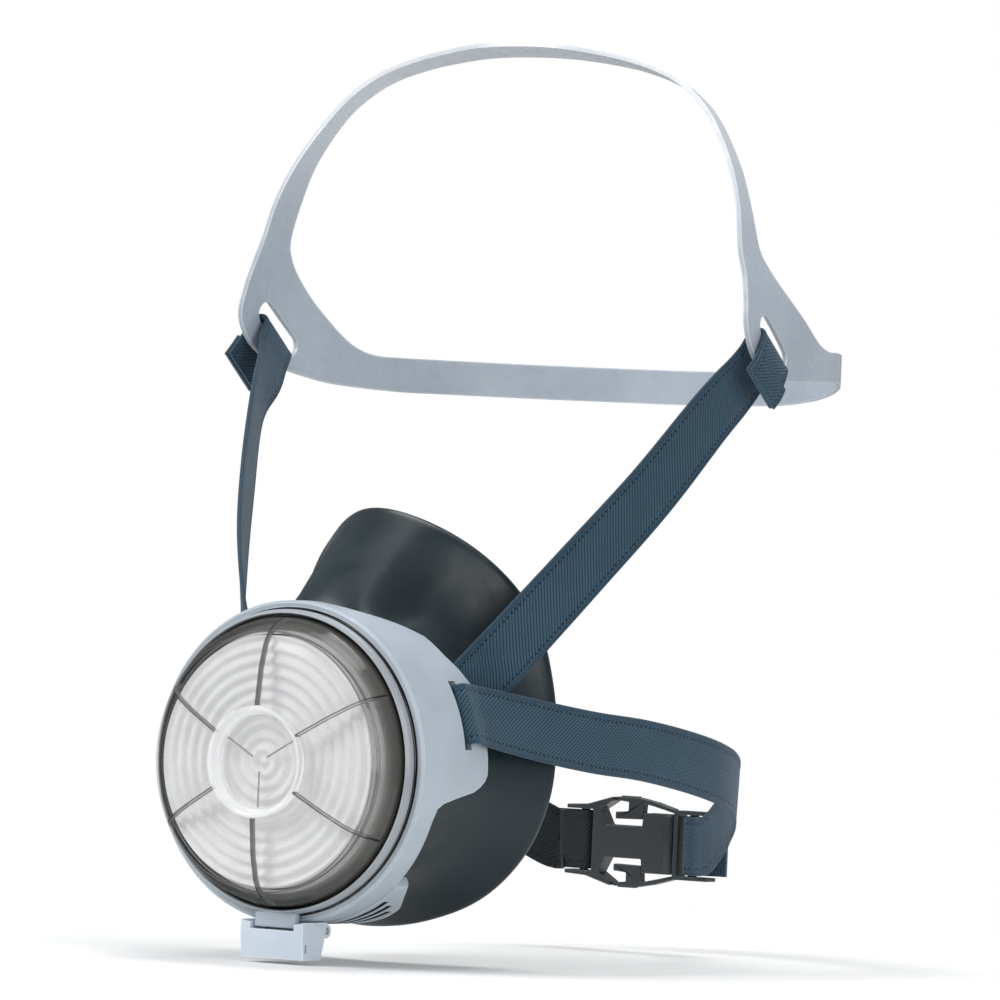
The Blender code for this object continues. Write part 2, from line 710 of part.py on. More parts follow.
def buckle_point(x, y, z=0.0):
    """A point on the strap at the buckle: x along the buckle and y towards the wearer's back."""
    return (BUCKLE[0] + x, BUCKLE[1] + y, BUCKLE[2] + z)


def left_strap_end():
    """Through the adjuster's ladder and back along the outside as a free tail."""
    points = [buckle_point(39.0, -9.6, 3.8), buckle_point(33.6, -5.6, 0.6), buckle_point(28.5, -2.5, 0.0)]
    points += [buckle_point(x, y) for x, y in ((24.5, -1.8), (23.4, 0.0), (24.5, 1.8), (28.5, 2.1))]
    return points + [buckle_point(32.5, 3.3), buckle_point(36.0, 3.6)]


def right_strap_end():
    """Round the fixed bar and sewn back on itself."""
    points = [buckle_point(x, y) for x, y in ((-24.0, -1.6), (-19.0, -1.9), (-12.6, -2.0))]
    points += [buckle_point(x, y) for x, y in ((-11.0, -1.7), (-9.9, 0.0), (-11.0, 1.7))]
    return points + [buckle_point(x, y) for x, y in ((-12.6, 2.0), (-19.0, 1.9), (-25.5, 0.6))]


def straps(finish):
    route, across = upper_strap_route(LEFT_STRAP_MIDDLE, LEFT_FOLD)
    upper = [webbing("left_upper_strap", route, across, finish, each=2)]
    route, across = upper_strap_route(RIGHT_STRAP_MIDDLE, RIGHT_FOLD)
    upper.append(webbing("right_upper_strap", mirrored(route), mirrored(across), finish, each=2))
    route, across = lower_strap_route()
    down = (0.0, 0.0, -1.0)
    left_end, right_end = left_strap_end(), right_strap_end()
    lower = [
        webbing("left_lower_strap", route + left_end, across + [down] * len(left_end), finish, each=2),
        webbing(
            "right_lower_strap", mirrored(route) + [Vector(p) for p in right_end],
            mirrored(across) + [Vector(down)] * len(right_end), finish, each=2,
        ),
    ]
    return upper, lower


# ---- neck buckle --------------------------------------------------------------------------
def both_halves(upper):
    """A closed outline from its upper half, listed from left to right."""
    return list(upper) + [(x, -z) for x, z in reversed(upper)]


def buckle_female(finish):
    """The socket half: a waisted body, two side guards and a bar for the sewn strap."""
    upper = (
        (-8.8, 9.4), (-18.4, 9.4), (-18.4, 10.6), (-11.0, 11.0), (-2.0, 13.6), (-2.0, 12.4), (-6.4, 9.6),
        (-4.0, 5.0), (9.0, 5.0), (9.4, 9.2), (19.8, 9.2),
    )
    body = plate("buckle_female", both_halves(upper), BUCKLE_THICK, finish, place=BUCKLE)
    x, y, z = BUCKLE
    join(body, box("female_bar", (x - 14.0, y - 1.0, z - 9.8), (x - 12.2, y + 1.0, z + 9.8)))
    cut(body, box("tongue_room", (x - 4.5, y - 1.4, z - 3.2), (x + 30, y + 1.4, z + 3.2)))
    cut(body, box("arm_room", (x + 5.0, y - 1.7, z - 12.0), (x + 30, y + 1.7, z + 12.0)))
    return body


def buckle_male(finish):
    """The plug half: a tongue, two rails and the bar that the strap is adjusted on."""
    x, y, z = BUCKLE
    frame = box("buckle_male", (x + 20.2, y - 2.6, z - 10.6), (x + 33.0, y + 2.6, z + 10.6), finish)
    cut(frame, box("strap_gap", (x + 21.8, y - 4, z - 9.4), (x + 36.0, y + 4, z + 9.4)))
    join(frame, box("male_bar", (x + 25.2, y - 1.0, z - 9.8), (x + 27.0, y + 1.0, z + 9.8)))
    join(frame, box("tongue", (x - 4.0, y - 1.0, z - 2.9), (x + 21.0, y + 1.0, z + 2.9)))
    return frame


def release_arm(name, side, finish):
    """A bowed springy arm from the plug half, with a catch that sits in the socket's waist."""
    outline = (
        (19.6, 9.6), (19.6, 10.8), (13.0, 12.6), (7.0, 13.7), (-1.4, 13.7), (-1.4, 12.6), (3.0, 12.2),
        (3.0, 9.4), (-1.6, 9.0), (-1.6, 6.9), (8.2, 7.1), (8.5, 12.0), (12.6, 11.2),
    )
    x, y, z = BUCKLE
    return plate(name, [(a, side * b) for a, b in outline], 2.8, finish, place=(x, y, z))


# ---- the whole respirator -----------------------------------------------------------------
def build():
    housing_plastic = material("housing_plastic", (0.38, 0.46, 0.53), 0.38)
    ring_plastic = material("ring_plastic", (0.20, 0.22, 0.25), 0.35)
    smoke_plastic = material("smoke_plastic", (0.42, 0.41, 0.39), 0.15, alpha=0.35)
    paper = material("filter_paper", (0.88, 0.86, 0.84), 0.9)
    filter_plastic = material("filter_plastic", (0.75, 0.75, 0.74), 0.5)
    rubber = material("rubber", (0.035, 0.055, 0.06), 0.45)
    black_rubber = material("valve_rubber", (0.02, 0.02, 0.022), 0.4)
    clip_plastic = material("latch_plastic", (0.62, 0.70, 0.78), 0.35)
    steel = material("steel", (0.6, 0.6, 0.6), 0.3)
    fabric = material("webbing", (0.045, 0.09, 0.14), 0.85)
    cradle_plastic = material("cradle_plastic", (0.58, 0.63, 0.72), 0.3)
    buckle_plastic = material("buckle_plastic", (0.03, 0.038, 0.042), 0.4)

    front_housing(housing_plastic)
    facepiece(rubber)
    clamp_ring(housing_plastic)
    inhalation_seat(filter_plastic)
    inhalation_stud(black_rubber)
    exhalation_seat(filter_plastic)
    exhalation_stud(black_rubber)
    exhalation_cover(housing_plastic)
    filter_media(paper)
    filter_frame(filter_plastic)
    filter_gasket(black_rubber)
    latch_pin(steel)

    cover_slide = pivot("filter_cover_slide", (0, -58.7, 0))
    hang(cover_slide, filter_cap(smoke_plastic), retaining_ring(ring_plastic))
    hang(pivot("latch_hinge", LATCH_PIN), latch(clip_plastic))
    hang(pivot("inhalation_slide", (0, -52.9, 0)), inhalation_flap(black_rubber))
    hang(pivot("exhalation_slide", (0, EXHALE_Y, -41.9)), exhalation_flap(black_rubber))

    upper, lower = straps(fabric)
    hang(pivot("upper_strap_hinge", EAR_HINGE), *upper)
    hang(pivot("cradle_hinge", (0, *CRADLE_BAR[1:])), head_cradle(cradle_plastic))
    hang(pivot("neck_loop_hinge", EAR_HINGE), *lower, buckle_female(buckle_plastic))
    hang(pivot("plug_slide", (BUCKLE[0] + 20, *BUCKLE[1:])), buckle_male(buckle_plastic))
    for name, side in (("release_arm_upper", 1), ("release_arm_lower", -1)):
        root = (BUCKLE[0] + 19.2, BUCKLE[1], BUCKLE[2] + side * 10.2)
        hang(pivot(name + "_hinge", root), release_arm(name, side, buckle_plastic))


clear_scene()
PARTS = collection("respirator")
CUTTERS = collection("cutters")
build()
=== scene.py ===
"""Looks for the half-mask respirator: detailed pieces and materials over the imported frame.

Shapes are in millimetres until MM turns them into metres. Places for lights, blends and shader
fades are in metres. +Z is up, -Y is forward and +X is the wearer's left. Angles round the filter's
axis run from +X towards +Z.
"""

import math

import bmesh
import bpy
from mathutils import Matrix, Vector


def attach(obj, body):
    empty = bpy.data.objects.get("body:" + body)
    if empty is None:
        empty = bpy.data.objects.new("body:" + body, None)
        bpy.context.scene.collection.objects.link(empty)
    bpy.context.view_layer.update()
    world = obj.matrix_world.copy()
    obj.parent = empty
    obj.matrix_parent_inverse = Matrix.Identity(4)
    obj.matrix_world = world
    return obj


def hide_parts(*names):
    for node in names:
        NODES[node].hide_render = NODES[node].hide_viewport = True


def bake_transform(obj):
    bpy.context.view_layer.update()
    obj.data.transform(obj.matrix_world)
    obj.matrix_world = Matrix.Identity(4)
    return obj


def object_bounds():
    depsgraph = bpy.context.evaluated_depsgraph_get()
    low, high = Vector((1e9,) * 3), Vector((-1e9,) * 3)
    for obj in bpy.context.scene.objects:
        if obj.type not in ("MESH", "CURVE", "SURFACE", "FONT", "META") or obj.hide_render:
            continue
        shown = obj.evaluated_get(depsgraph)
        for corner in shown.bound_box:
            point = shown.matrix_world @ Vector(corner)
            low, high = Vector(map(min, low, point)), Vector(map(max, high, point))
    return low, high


MM = 0.001
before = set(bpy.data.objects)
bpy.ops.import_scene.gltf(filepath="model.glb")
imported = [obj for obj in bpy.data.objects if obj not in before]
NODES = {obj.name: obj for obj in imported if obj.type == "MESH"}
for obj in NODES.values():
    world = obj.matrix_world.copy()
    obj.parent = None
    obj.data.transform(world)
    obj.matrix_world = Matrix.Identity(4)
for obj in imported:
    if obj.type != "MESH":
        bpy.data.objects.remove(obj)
CAD_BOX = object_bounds()

# ---- driving dimensions ----
HOUSING_R = 46.5
HOUSING_WALL = 2.0
HOUSING_MIDDLE_R = HOUSING_R - HOUSING_WALL / 2
HOUSING_FRONT_Y = -61.9
RUBBER_WALL = 2.0
RUBBER_COLLAR_R = 39.6
EAR_SLOT_Y = (-40.0, -36.4)
EAR_SLOT_ANGLES = (7.0, 33.0)
CAP_EDGE_R = 37.0
CAP_HUB_R = 15.8
CAP_SLITS = 6
SLIT_WIDTH = 0.7
PAPER_EDGE_R = 36.3
PAPER_PLEATS = 10
COVER_R = 46.9
COVER_WALL = 1.5
COVER_FRONT_Y = -51.4
COVER_ANGLES = (-133.0, -47.0)
LOUVRES = ((-47.4, 30), (-42.4, 27), (-37.4, 22))
LOUVRE_WIDTH = 2.6
LATCH_PIN = (0.0, -54.3, -48.2)
EXHALE_Y = -37.6
CRADLE_THICK = 1.5
CRADLE_BAR = (88.2, 50.3, 126.9)
CRADLE_SLOT = (88.2, 50.5, 127.2)
CRADLE_SLOT_DIR = (0.0, 0.787, -0.617)
CRADLE_SLOT_LENGTH = 22.0
CRADLE_SLOT_WIDTH = 7.0
CRADLE_SIDE_X = 90.2
CRADLE_BACK_Y = 159.0
CRADLE_MIDDLE_Y = 20.0
CRADLE_SQUARENESS = 2.4
CRADLE_WAIST = 1.3
CRADLE_WAIST_Y = (28.0, 100.0)
CRADLE_NARROWS_FROM_Z = 125.0
CRADLE_NARROWING = 0.0060
BAND_LOW_Z = 110.4
BAND_HEIGHT = 10.6
LEFT_LIFT = 5.5
LIFT_START_Y = 50.0
LEFT_STRAP_MIDDLE = (
    ((60.0, -3.0, 59.5), (0.36, 0.66, -0.65)), ((71.2, 14.0, 82.0), (0.28, 0.71, -0.64)),
    ((80.2, 29.6, 104.0), (0.18, 0.75, -0.62)),
)
RIGHT_STRAP_MIDDLE = (
    ((60.0, -3.0, 59.5), (0.30, 0.70, -0.65)), ((71.0, 14.2, 82.0), (0.27, 0.73, -0.63)),
    ((79.8, 30.2, 104.0), (0.30, 0.745, -0.60)),
)
LEFT_FOLD = ((-6.0, 91.2), (-9.5, 91.4), (-13.0, 91.4), (-16.8, 90.6))
RIGHT_FOLD = ((-6.0, 91.2), (-9.5, 91.5), (-13.0, 92.0), (-16.8, 92.8))
BUCKLE_PLACE = Vector((-6.0, 130.0, -24.5))
STITCHES_IN_ROW = 8
STITCH_PITCH = 2.1
STITCH_LENGTH = 1.3
FIRST_STITCH = -7.6
CAMERA_TURN = (32.867, -0.207, 2.513)
CAMERA_SHIFT = (27.224, 76.905)
CAMERA_DISTANCE = 2500.0
CAMERA_LENS = 306.6


# ---- small curve helpers ----
def evenly(low, high, steps):
    """Values from low to high, one more than there are steps."""
    return [low + (high - low) * k / steps for k in range(steps + 1)]


def catmull(points, t):
    """The place at t, from 0 to 1, on a smooth curve through the points."""
    last = len(points) - 1
    place = min(max(t, 0.0), 1.0) * last
    i = min(int(place), last - 1)
    u = place - i
    p = [Vector(points[min(max(k, 0), last)]) for k in range(i - 1, i + 3)]
    return 0.5 * (
        2 * p[1]
        + (p[2] - p[0]) * u
        + (2 * p[0] - 5 * p[1] + 4 * p[2] - p[3]) * u * u
        + (3 * p[1] - p[0] - 3 * p[2] + p[3]) * u ** 3
    )


def straight_value(keys, x):
    for (x0, y0), (x1, y1) in zip(keys, keys[1:]):
        if x <= x1:
            return y0 + (y1 - y0) * (x - x0) / (x1 - x0)
    return keys[-1][1]


def smooth_value(keys, x):
    for (x0, y0), (x1, y1) in zip(keys, keys[1:]):
        if x <= x1:
            u = (x - x0) / (x1 - x0)
            return y0 + (y1 - y0) * u * u * (3 - 2 * u)
    return keys[-1][1]


def polar(radius, degrees, y):
    a = math.radians(degrees)
    return Vector((radius * math.cos(a), y, radius * math.sin(a)))


def mirrored(points):
    return [Vector((-p[0], p[1], p[2])) for p in points]


def right_side(degrees):
    """The same place on the +X side, from -90 at the chin to 90 at the nose."""
    degrees = degrees if degrees <= 180 else degrees - 360
    return degrees if abs(degrees) <= 90 else math.copysign(180, degrees) - degrees


def rounded(profile, radius, closed):
    """The profile with its corners turned into small arcs."""
    steps = 3
    points = [Vector(p).to_2d() for p in profile]
    count = len(points)
    made = []
    for i, p in enumerate(points):
        if not closed and i in (0, count - 1):
            made.append(p)
            continue
        before, after = points[i - 1] - p, points[(i + 1) % count] - p
        a = p + before.normalized() * min(radius, before.length * 0.45)
        b = p + after.normalized() * min(radius, after.length * 0.45)
        for k in range(steps + 1):
            u = k / steps
            made.append(a * (1 - u) ** 2 + p * 2 * u * (1 - u) + b * u * u)
    return made


# ---- making pieces ----
def placed(name, data):
    obj = bpy.data.objects.new(name, data)
    bpy.context.scene.collection.objects.link(obj)
    return obj


def modify(obj, name, kind, **settings):
    modifier = obj.modifiers.new(name, kind)
    for key, value in settings.items():
        setattr(modifier, key, value)


def new_object(name, bm, look):
    mesh = bpy.data.meshes.new(name)
    bm.to_mesh(mesh)
    bm.free()
    if look is not None:
        mesh.materials.append(look)
    return placed(name, mesh)


def shade(mesh, sharp):
    mesh.shade_smooth()
    mesh.set_sharp_from_angle(angle=math.radians(sharp))


def piece(name, bm, look, sharp=35.0):
    bmesh.ops.recalc_face_normals(bm, faces=bm.faces)
    obj = new_object(name, bm, look)
    shade(obj.data, sharp)
    return obj


def settled(obj, sharp=35.0):
    """Turns the object's modifiers into its own mesh."""
    graph = bpy.context.evaluated_depsgraph_get()
    mesh = bpy.data.meshes.new_from_object(obj.evaluated_get(graph))
    obj.modifiers.clear()
    obj.data = mesh
    shade(mesh, sharp)
    return obj


def turned(name, profile, look, steps=144, corner=0.3, closed=True, down=False, place=(0, 0, 0)):
    """A turned piece from (radius, height) points. Height is forward, or up where down is set."""
    points = rounded(profile, corner, closed)
    place = Vector(place)
    bm = bmesh.new()
    rings = []
    for r, h in points:
        ring = []
        for k in range(steps if r > 1e-5 else 1):
            a = math.tau * k / steps
            x, y = r * math.cos(a), r * math.sin(a)
            where = Vector((x, y, h)) if down else Vector((x, -h, y))
            ring.append(bm.verts.new((where + place) * MM))
        rings.append(ring)
    pairs = list(zip(rings, rings[1:]))
    if closed:
        pairs.append((rings[-1], rings[0]))
    for one, two in pairs:
        for k in range(steps):
            j = (k + 1) % steps
            corners = [one[k % len(one)], one[j % len(one)], two[j % len(two)], two[k % len(two)]]
            unique = list(dict.fromkeys(corners))
            if len(unique) > 2:
                bm.faces.new(unique)
    return piece(name, bm, look)


def sheet_between(name, rows, thickness, look, closed=False, offset=0.0):
    """An open surface through rows of points, thickened into a solid."""
    bm = bmesh.new()
    grid = [[bm.verts.new(Vector(p) * MM) for p in row] for row in rows]
    for upper, lower in zip(grid, grid[1:]):
        count = len(upper)
        for i in range(count if closed else count - 1):
            j = (i + 1) % count
            bm.faces.new((upper[i], upper[j], lower[j], lower[i]))
    obj = new_object(name, bm, look)
    modify(obj, "wall", "SOLIDIFY", thickness=thickness * MM, offset=offset, use_even_offset=True)
    return settled(obj)


def box(name, low, high, look=None, corner=0.0, turn=None):
    bm = bmesh.new()
    size = [(b - a) * MM for a, b in zip(low, high)]
    middle = Vector([(a + b) / 2 * MM for a, b in zip(low, high)])
    matrix = Matrix.Translation(middle) @ (turn or Matrix.Identity(4)) @ Matrix.Diagonal((*size, 1))
    bmesh.ops.create_cube(bm, size=1.0, matrix=matrix)
    if corner:
        bmesh.ops.bevel(
            bm, geom=bm.edges[:], offset=corner * MM, offset_type="OFFSET", segments=3,
            profile=0.5, affect="EDGES", clamp_overlap=True,
        )
    return piece(name, bm, look)


def rod(name, radius, start, end, look=None, sides=32):
    start, end = Vector(start) * MM, Vector(end) * MM
    turn = (end - start).to_track_quat("Z", "Y").to_matrix().to_4x4()
    bm = bmesh.new()
    bmesh.ops.create_cone(
        bm, cap_ends=True, segments=sides, radius1=radius * MM, radius2=radius * MM,
        depth=(end - start).length, matrix=Matrix.Translation((start + end) / 2) @ turn,
    )
    return piece(name, bm, look)


def boolean(obj, operation, others, keep_material=False):
    mode = {"material_mode": "TRANSFER"} if keep_material else {}
    for other in others:
        modify(obj, operation, "BOOLEAN", operation=operation, object=other, **mode)
    settled(obj)
    for other in others:
        bpy.data.objects.remove(other, do_unlink=True)


def softened(obj, width, angle=38.0, segments=2, sharp=45.0):
    """Rounds the piece's sharp edges."""
    modify(
        obj, "edges", "BEVEL", width=width * MM, segments=segments, limit_method="ANGLE",
        angle_limit=math.radians(angle),
    )
    return settled(obj, sharp)


def stands_for(obj, body, node):
    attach(obj, body)
    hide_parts(node)


def turned_part(name, profile, look, body, node, slot, **shape):
    """A turned piece that stands for a node as it is."""
    stands_for(turned(name, profile, look.material, **shape), body, node)


def rides(obj, body):
    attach(obj, body)


def dressed(node, look, corner):
    """A CAD node that stays: welded and softened by modifiers, with a finished material."""
    obj = NODES[node]
    obj.data.materials.clear()
    obj.data.materials.append(look)
    obj.data.shade_smooth()
    modify(obj, "weld", "WELD", merge_threshold=0.01 * MM)
    modify(
        obj, "edges", "BEVEL", width=corner * MM, segments=2, limit_method="ANGLE",
        angle_limit=math.radians(40.0),
    )
    modify(obj, "normals", "WEIGHTED_NORMAL", keep_sharp=True)


# ---- materials ----
class Look:
    """A material under construction, with short calls for its nodes."""

    def __init__(self, name, colour, roughness):
        self.material = bpy.data.materials.new(name)
        self.material.use_nodes = True
        self.tree = self.material.node_tree
        self.shader = self.tree.nodes["Principled BSDF"]
        self.set("Base Color", colour)
        self.set("Roughness", roughness)
        self.material.diffuse_color = (*colour, 1.0)

    def feed(self, socket, value):
        """Fills an input with a number, a vector, a colour or another node's output."""
        if isinstance(value, bpy.types.NodeSocket):
            self.tree.links.new(value, socket)
        elif isinstance(socket, bpy.types.NodeSocketColor):
            socket.default_value = (*value, 1.0)
        else:
            socket.default_value = value

    def set(self, name, value):
        self.feed(self.shader.inputs[name], value)

    def node(self, kind, inputs=(), **settings):
        made = self.tree.nodes.new(kind)
        for key, value in settings.items():
            setattr(made, key, value)
        for socket, value in dict(inputs).items():
            self.feed(made.inputs[socket], value)
        return made

    def place(self, kind="Object"):
        return self.node("ShaderNodeTexCoord").outputs[kind]

    def split(self, vector):
        return self.node("ShaderNodeSeparateXYZ", {0: vector}).outputs

    def maths(self, operation, *values, clamp=False):
        inputs = dict(enumerate(values))
        return self.node("ShaderNodeMath", inputs, operation=operation, use_clamp=clamp).outputs[0]

    def times(self, a, b):
        return self.maths("MULTIPLY", a, b)

    def plus(self, a, b, clamp=False):
        return self.maths("ADD", a, b, clamp=clamp)

    def off(self, a, b):
        """How far a is from b, either way."""
        return self.maths("ABSOLUTE", self.maths("SUBTRACT", a, b))

    def inverse(self, a):
        return self.maths("SUBTRACT", 1.0, a)

    def noise(self, size_mm, detail=3.0, roughness=0.5, stretch=None):
        source = self.place()
        if stretch:
            source = self.node("ShaderNodeMapping", {"Vector": source, "Scale": stretch}).outputs[0]
        scale = 1.0 / (size_mm * MM)
        inputs = {"Vector": source, "Scale": scale, "Detail": detail, "Roughness": roughness}
        return self.node("ShaderNodeTexNoise", inputs).outputs["Fac"]

    def ramp(self, value, low, high, out_low=0.0, out_high=1.0):
        """Value's way from low to high, eased and carried over to out_low and out_high."""
        inputs = {"Value": value, "From Min": low, "From Max": high}
        inputs.update({"To Min": out_low, "To Max": out_high})
        return self.node("ShaderNodeMapRange", inputs, interpolation_type="SMOOTHSTEP").outputs["Result"]

    def mix(self, factor, a, b):
        return self.node("ShaderNodeMix", {0: factor, 6: a, 7: b}, data_type="RGBA").outputs[2]

    def edges(self, radius_mm, low=0.02, high=0.25):
        """1 on the piece's convex and concave edges, and 0 on its flat faces."""
        bevel = self.node("ShaderNodeBevel", {"Radius": radius_mm * MM}, samples=4).outputs[0]
        normal = self.node("ShaderNodeNewGeometry").outputs["Normal"]
        dot = self.node("ShaderNodeVectorMath", {0: bevel, 1: normal}, operation="DOT_PRODUCT")
        return self.ramp(self.inverse(dot.outputs["Value"]), low, high)

    def bump(self, height, depth_mm, strength):
        inputs = {"Height": height, "Distance": depth_mm * MM, "Strength": strength}
        self.set("Normal", self.node("ShaderNodeBump", inputs).outputs[0])


def moulded(name, colour, roughness, depth_mm=0.02, wear_and_highlight_colour=None):
    """Moulded plastic: fine grain, slow colour drift, edges a little lighter from rubbing and a painted
    highlight.
    """
    grain_mm, edge_mm, drift = 0.35, 0.7, 0.06
    look = Look(name, colour, roughness)
    slow = look.ramp(look.noise(22.0, 2.0), 0.3, 0.7)
    darker = tuple(c * (1 - drift) for c in colour)
    lighter = tuple(min(1.0, c * (1 + drift)) for c in colour)
    tone = look.mix(slow, darker, lighter)
    scuffs = look.ramp(look.noise(2.6, 5.0, 0.65), 0.52, 0.78)
    wear_and_highlight_colour = wear_and_highlight_colour or tuple(min(1.0, c * 1.35 + 0.03) for c in colour)
    uneven = look.ramp(look.noise(6.0, 3.0), 0.25, 0.6, 0.35, 0.9)
    # The edges' lighter colour is partly rubbed wear and partly a painted highlight.
    wear_and_highlight_mask = look.times(look.edges(edge_mm), uneven)
    look.set("Base Color", look.mix(wear_and_highlight_mask, tone, wear_and_highlight_colour))
    look.set("Roughness", look.plus(look.times(scuffs, 0.09), roughness - 0.02))
    look.bump(look.noise(grain_mm, 2.0, 0.6), depth_mm, 0.6)
    return look


def rubber_look(name, colour, roughness, wear_and_highlight_colour):
    """Dusty rubber, greyer on its edges, partly from wear and partly as a painted highlight."""
    look = Look(name, colour, roughness)
    look.set("Specular IOR Level", 0.42)
    slow = look.ramp(look.noise(30.0, 3.0), 0.32, 0.68)
    tone = look.mix(slow, tuple(c * 0.85 for c in colour), tuple(c * 1.2 for c in colour))
    dust = look.ramp(look.noise(1.1, 6.0, 0.7), 0.6, 0.85, 0.0, 0.35)
    tone = look.mix(dust, tone, wear_and_highlight_colour)
    # Greyer edges: partly wear, partly a painted highlight along the crests.
    wear_and_highlight_mask = look.times(look.edges(0.9), 0.5)
    look.set("Base Color", look.mix(wear_and_highlight_mask, tone, wear_and_highlight_colour))
    patchy = look.ramp(look.noise(9.0, 4.0), 0.3, 0.75, roughness - 0.05, roughness + 0.09)
    look.set("Roughness", patchy)
    look.bump(look.noise(0.28, 2.0, 0.6), 0.018, 0.6)
    return look


def paper_look():
    """White felted paper."""
    look = Look("filter_paper", (0.93, 0.93, 0.925), 0.92)
    fibres = look.noise(0.55, 6.0, 0.75)
    blotch = look.ramp(look.noise(5.0, 4.0, 0.6), 0.3, 0.7)
    tone = look.mix(blotch, (0.79, 0.788, 0.79), (0.85, 0.848, 0.85))
    tone = look.mix(look.ramp(fibres, 0.35, 0.5), (0.74, 0.738, 0.74), tone)
    look.set("Base Color", tone)
    look.set("Sheen Weight", 0.15)
    look.bump(fibres, 0.04, 0.6)
    return look


def smoke_look():
    """Clear smoke-tinted plastic: thin over the front, denser and darker down the side wall, with
    painted shade near the ring, a painted dark line at the dome's bend and a painted highlight round the
    hub.
    """
    look = Look("smoke_plastic", (0.36, 0.36, 0.35), 0.12)
    look.set("Specular IOR Level", 0.6)
    x, y, z = look.split(look.place())
    radius = look.maths("SQRT", look.plus(look.times(x, x), look.times(z, z)))
    behind_dome = look.ramp(y, -0.0752, -0.0715)
    side = look.times(look.ramp(radius, 0.0368, 0.0376), behind_dome)
    # Painted shade: the side wall goes near black towards the ring.
    deep = look.times(side, look.ramp(y, -0.0705, -0.0635))
    # A painted dark line round the dome's bend, as shade.
    edge = look.inverse(look.ramp(look.off(radius, 0.0374), 0.0001, 0.00032))
    # A painted highlight ring at the hub's step, nearly white.
    painted_hub_highlight = look.inverse(look.ramp(look.off(radius, 0.0148), 0.0010, 0.0016))
    rims = look.edges(0.45, 0.03, 0.3)
    alpha = look.plus(look.times(side, 0.20), 0.07)
    for part, density in ((deep, 0.70), (painted_hub_highlight, 0.40), (edge, 0.6)):
        alpha = look.plus(alpha, look.times(part, density))
    look.set("Alpha", look.plus(alpha, look.times(rims, 0.25), clamp=True))
    tone = look.mix(side, (0.40, 0.405, 0.41), (0.19, 0.19, 0.175))
    # Painted shade near the ring, a painted highlight at the hub and a painted dark line at the bend.
    for part, shade_of_part in (
        (deep, (0.022, 0.024, 0.023)), (painted_hub_highlight, (0.95, 0.955, 0.96)), (edge, (0.10, 0.10, 0.10)),
    ):
        tone = look.mix(part, tone, shade_of_part)
    look.set("Base Color", tone)
    look.set("Roughness", look.ramp(look.noise(3.0, 4.0), 0.4, 0.8, 0.09, 0.18))
    look.bump(look.noise(1.4, 3.0), 0.012, 0.5)
    return look


def slit_look(name, shade_of_cut, alpha):
    """Smoke plastic seen through its thickness, as on a slit's cut edge or along a rib, its darker grey
    painted as shade.
    """
    look = Look(name, (shade_of_cut, shade_of_cut, shade_of_cut), 0.4)
    look.set("Roughness", look.ramp(look.noise(0.8, 3.0), 0.3, 0.7, 0.35, 0.5))
    look.set("Alpha", alpha)
    look.bump(look.noise(0.5, 2.0), 0.02, 0.5)
    return look


def webbing_look(name, deep, raised, thread, fluff):
    """Ribbed elastic in a fine twill between two plain selvedges, with a stitch row inside each."""
    look = Look(name, raised, 0.8)
    along, across, _ = look.split(look.place("UV"))

    def wave(value, pitch):
        return look.maths("ABSOLUTE", look.maths("SINE", look.times(value, math.pi / pitch)))

    slope = look.plus(along, look.times(across, 0.9))
    twill = look.maths("POWER", wave(slope, 1.25), 0.6)
    ribs = look.maths("POWER", wave(across, 0.8), 0.5)
    body = look.times(twill, look.plus(look.times(ribs, 0.55), 0.45))
    from_middle = look.maths("ABSOLUTE", across)
    selvedge = look.ramp(from_middle, 7.55, 7.75)
    cord = look.times(wave(along, 0.6), look.times(selvedge, 0.8))
    height = look.plus(look.times(body, look.inverse(selvedge)), cord)
    near_row = look.inverse(look.ramp(look.off(from_middle, 6.85), 0.2, 0.42))
    dash = look.ramp(look.maths("SINE", look.times(along, math.tau / 1.7)), -0.25, 0.2)
    stitch = look.times(near_row, dash)
    fuzz = look.noise(0.5, 5.0, 0.7)
    slow = look.ramp(look.noise(14.0, 3.0), 0.3, 0.7, 0.85, 1.0)
    # Painted shade: the weave's hollows are darker than its raised threads.
    tone = look.mix(look.times(look.ramp(height, 0.2, 0.95), slow), deep, raised)
    tone = look.mix(look.times(stitch, 0.85), tone, thread)
    look.set("Base Color", look.mix(look.ramp(fuzz, 0.55, 0.8, 0.0, 0.25), tone, fluff))
    look.set("Sheen Weight", 0.2)
    look.set("Sheen Roughness", 0.45)
    look.set("Specular IOR Level", 0.3)
    sewn = look.maths("SUBTRACT", height, look.times(stitch, 0.5))
    look.bump(look.plus(sewn, look.times(fuzz, 0.25)), 0.16, 0.9)
    return look


def thread_look():
    look = Look("thread", (0.05, 0.095, 0.135), 0.7)
    twist = look.noise(0.3, 3.0)
    look.set("Base Color", look.mix(twist, (0.03, 0.06, 0.09), (0.085, 0.14, 0.19)))
    look.bump(twist, 0.04, 0.7)
    return look


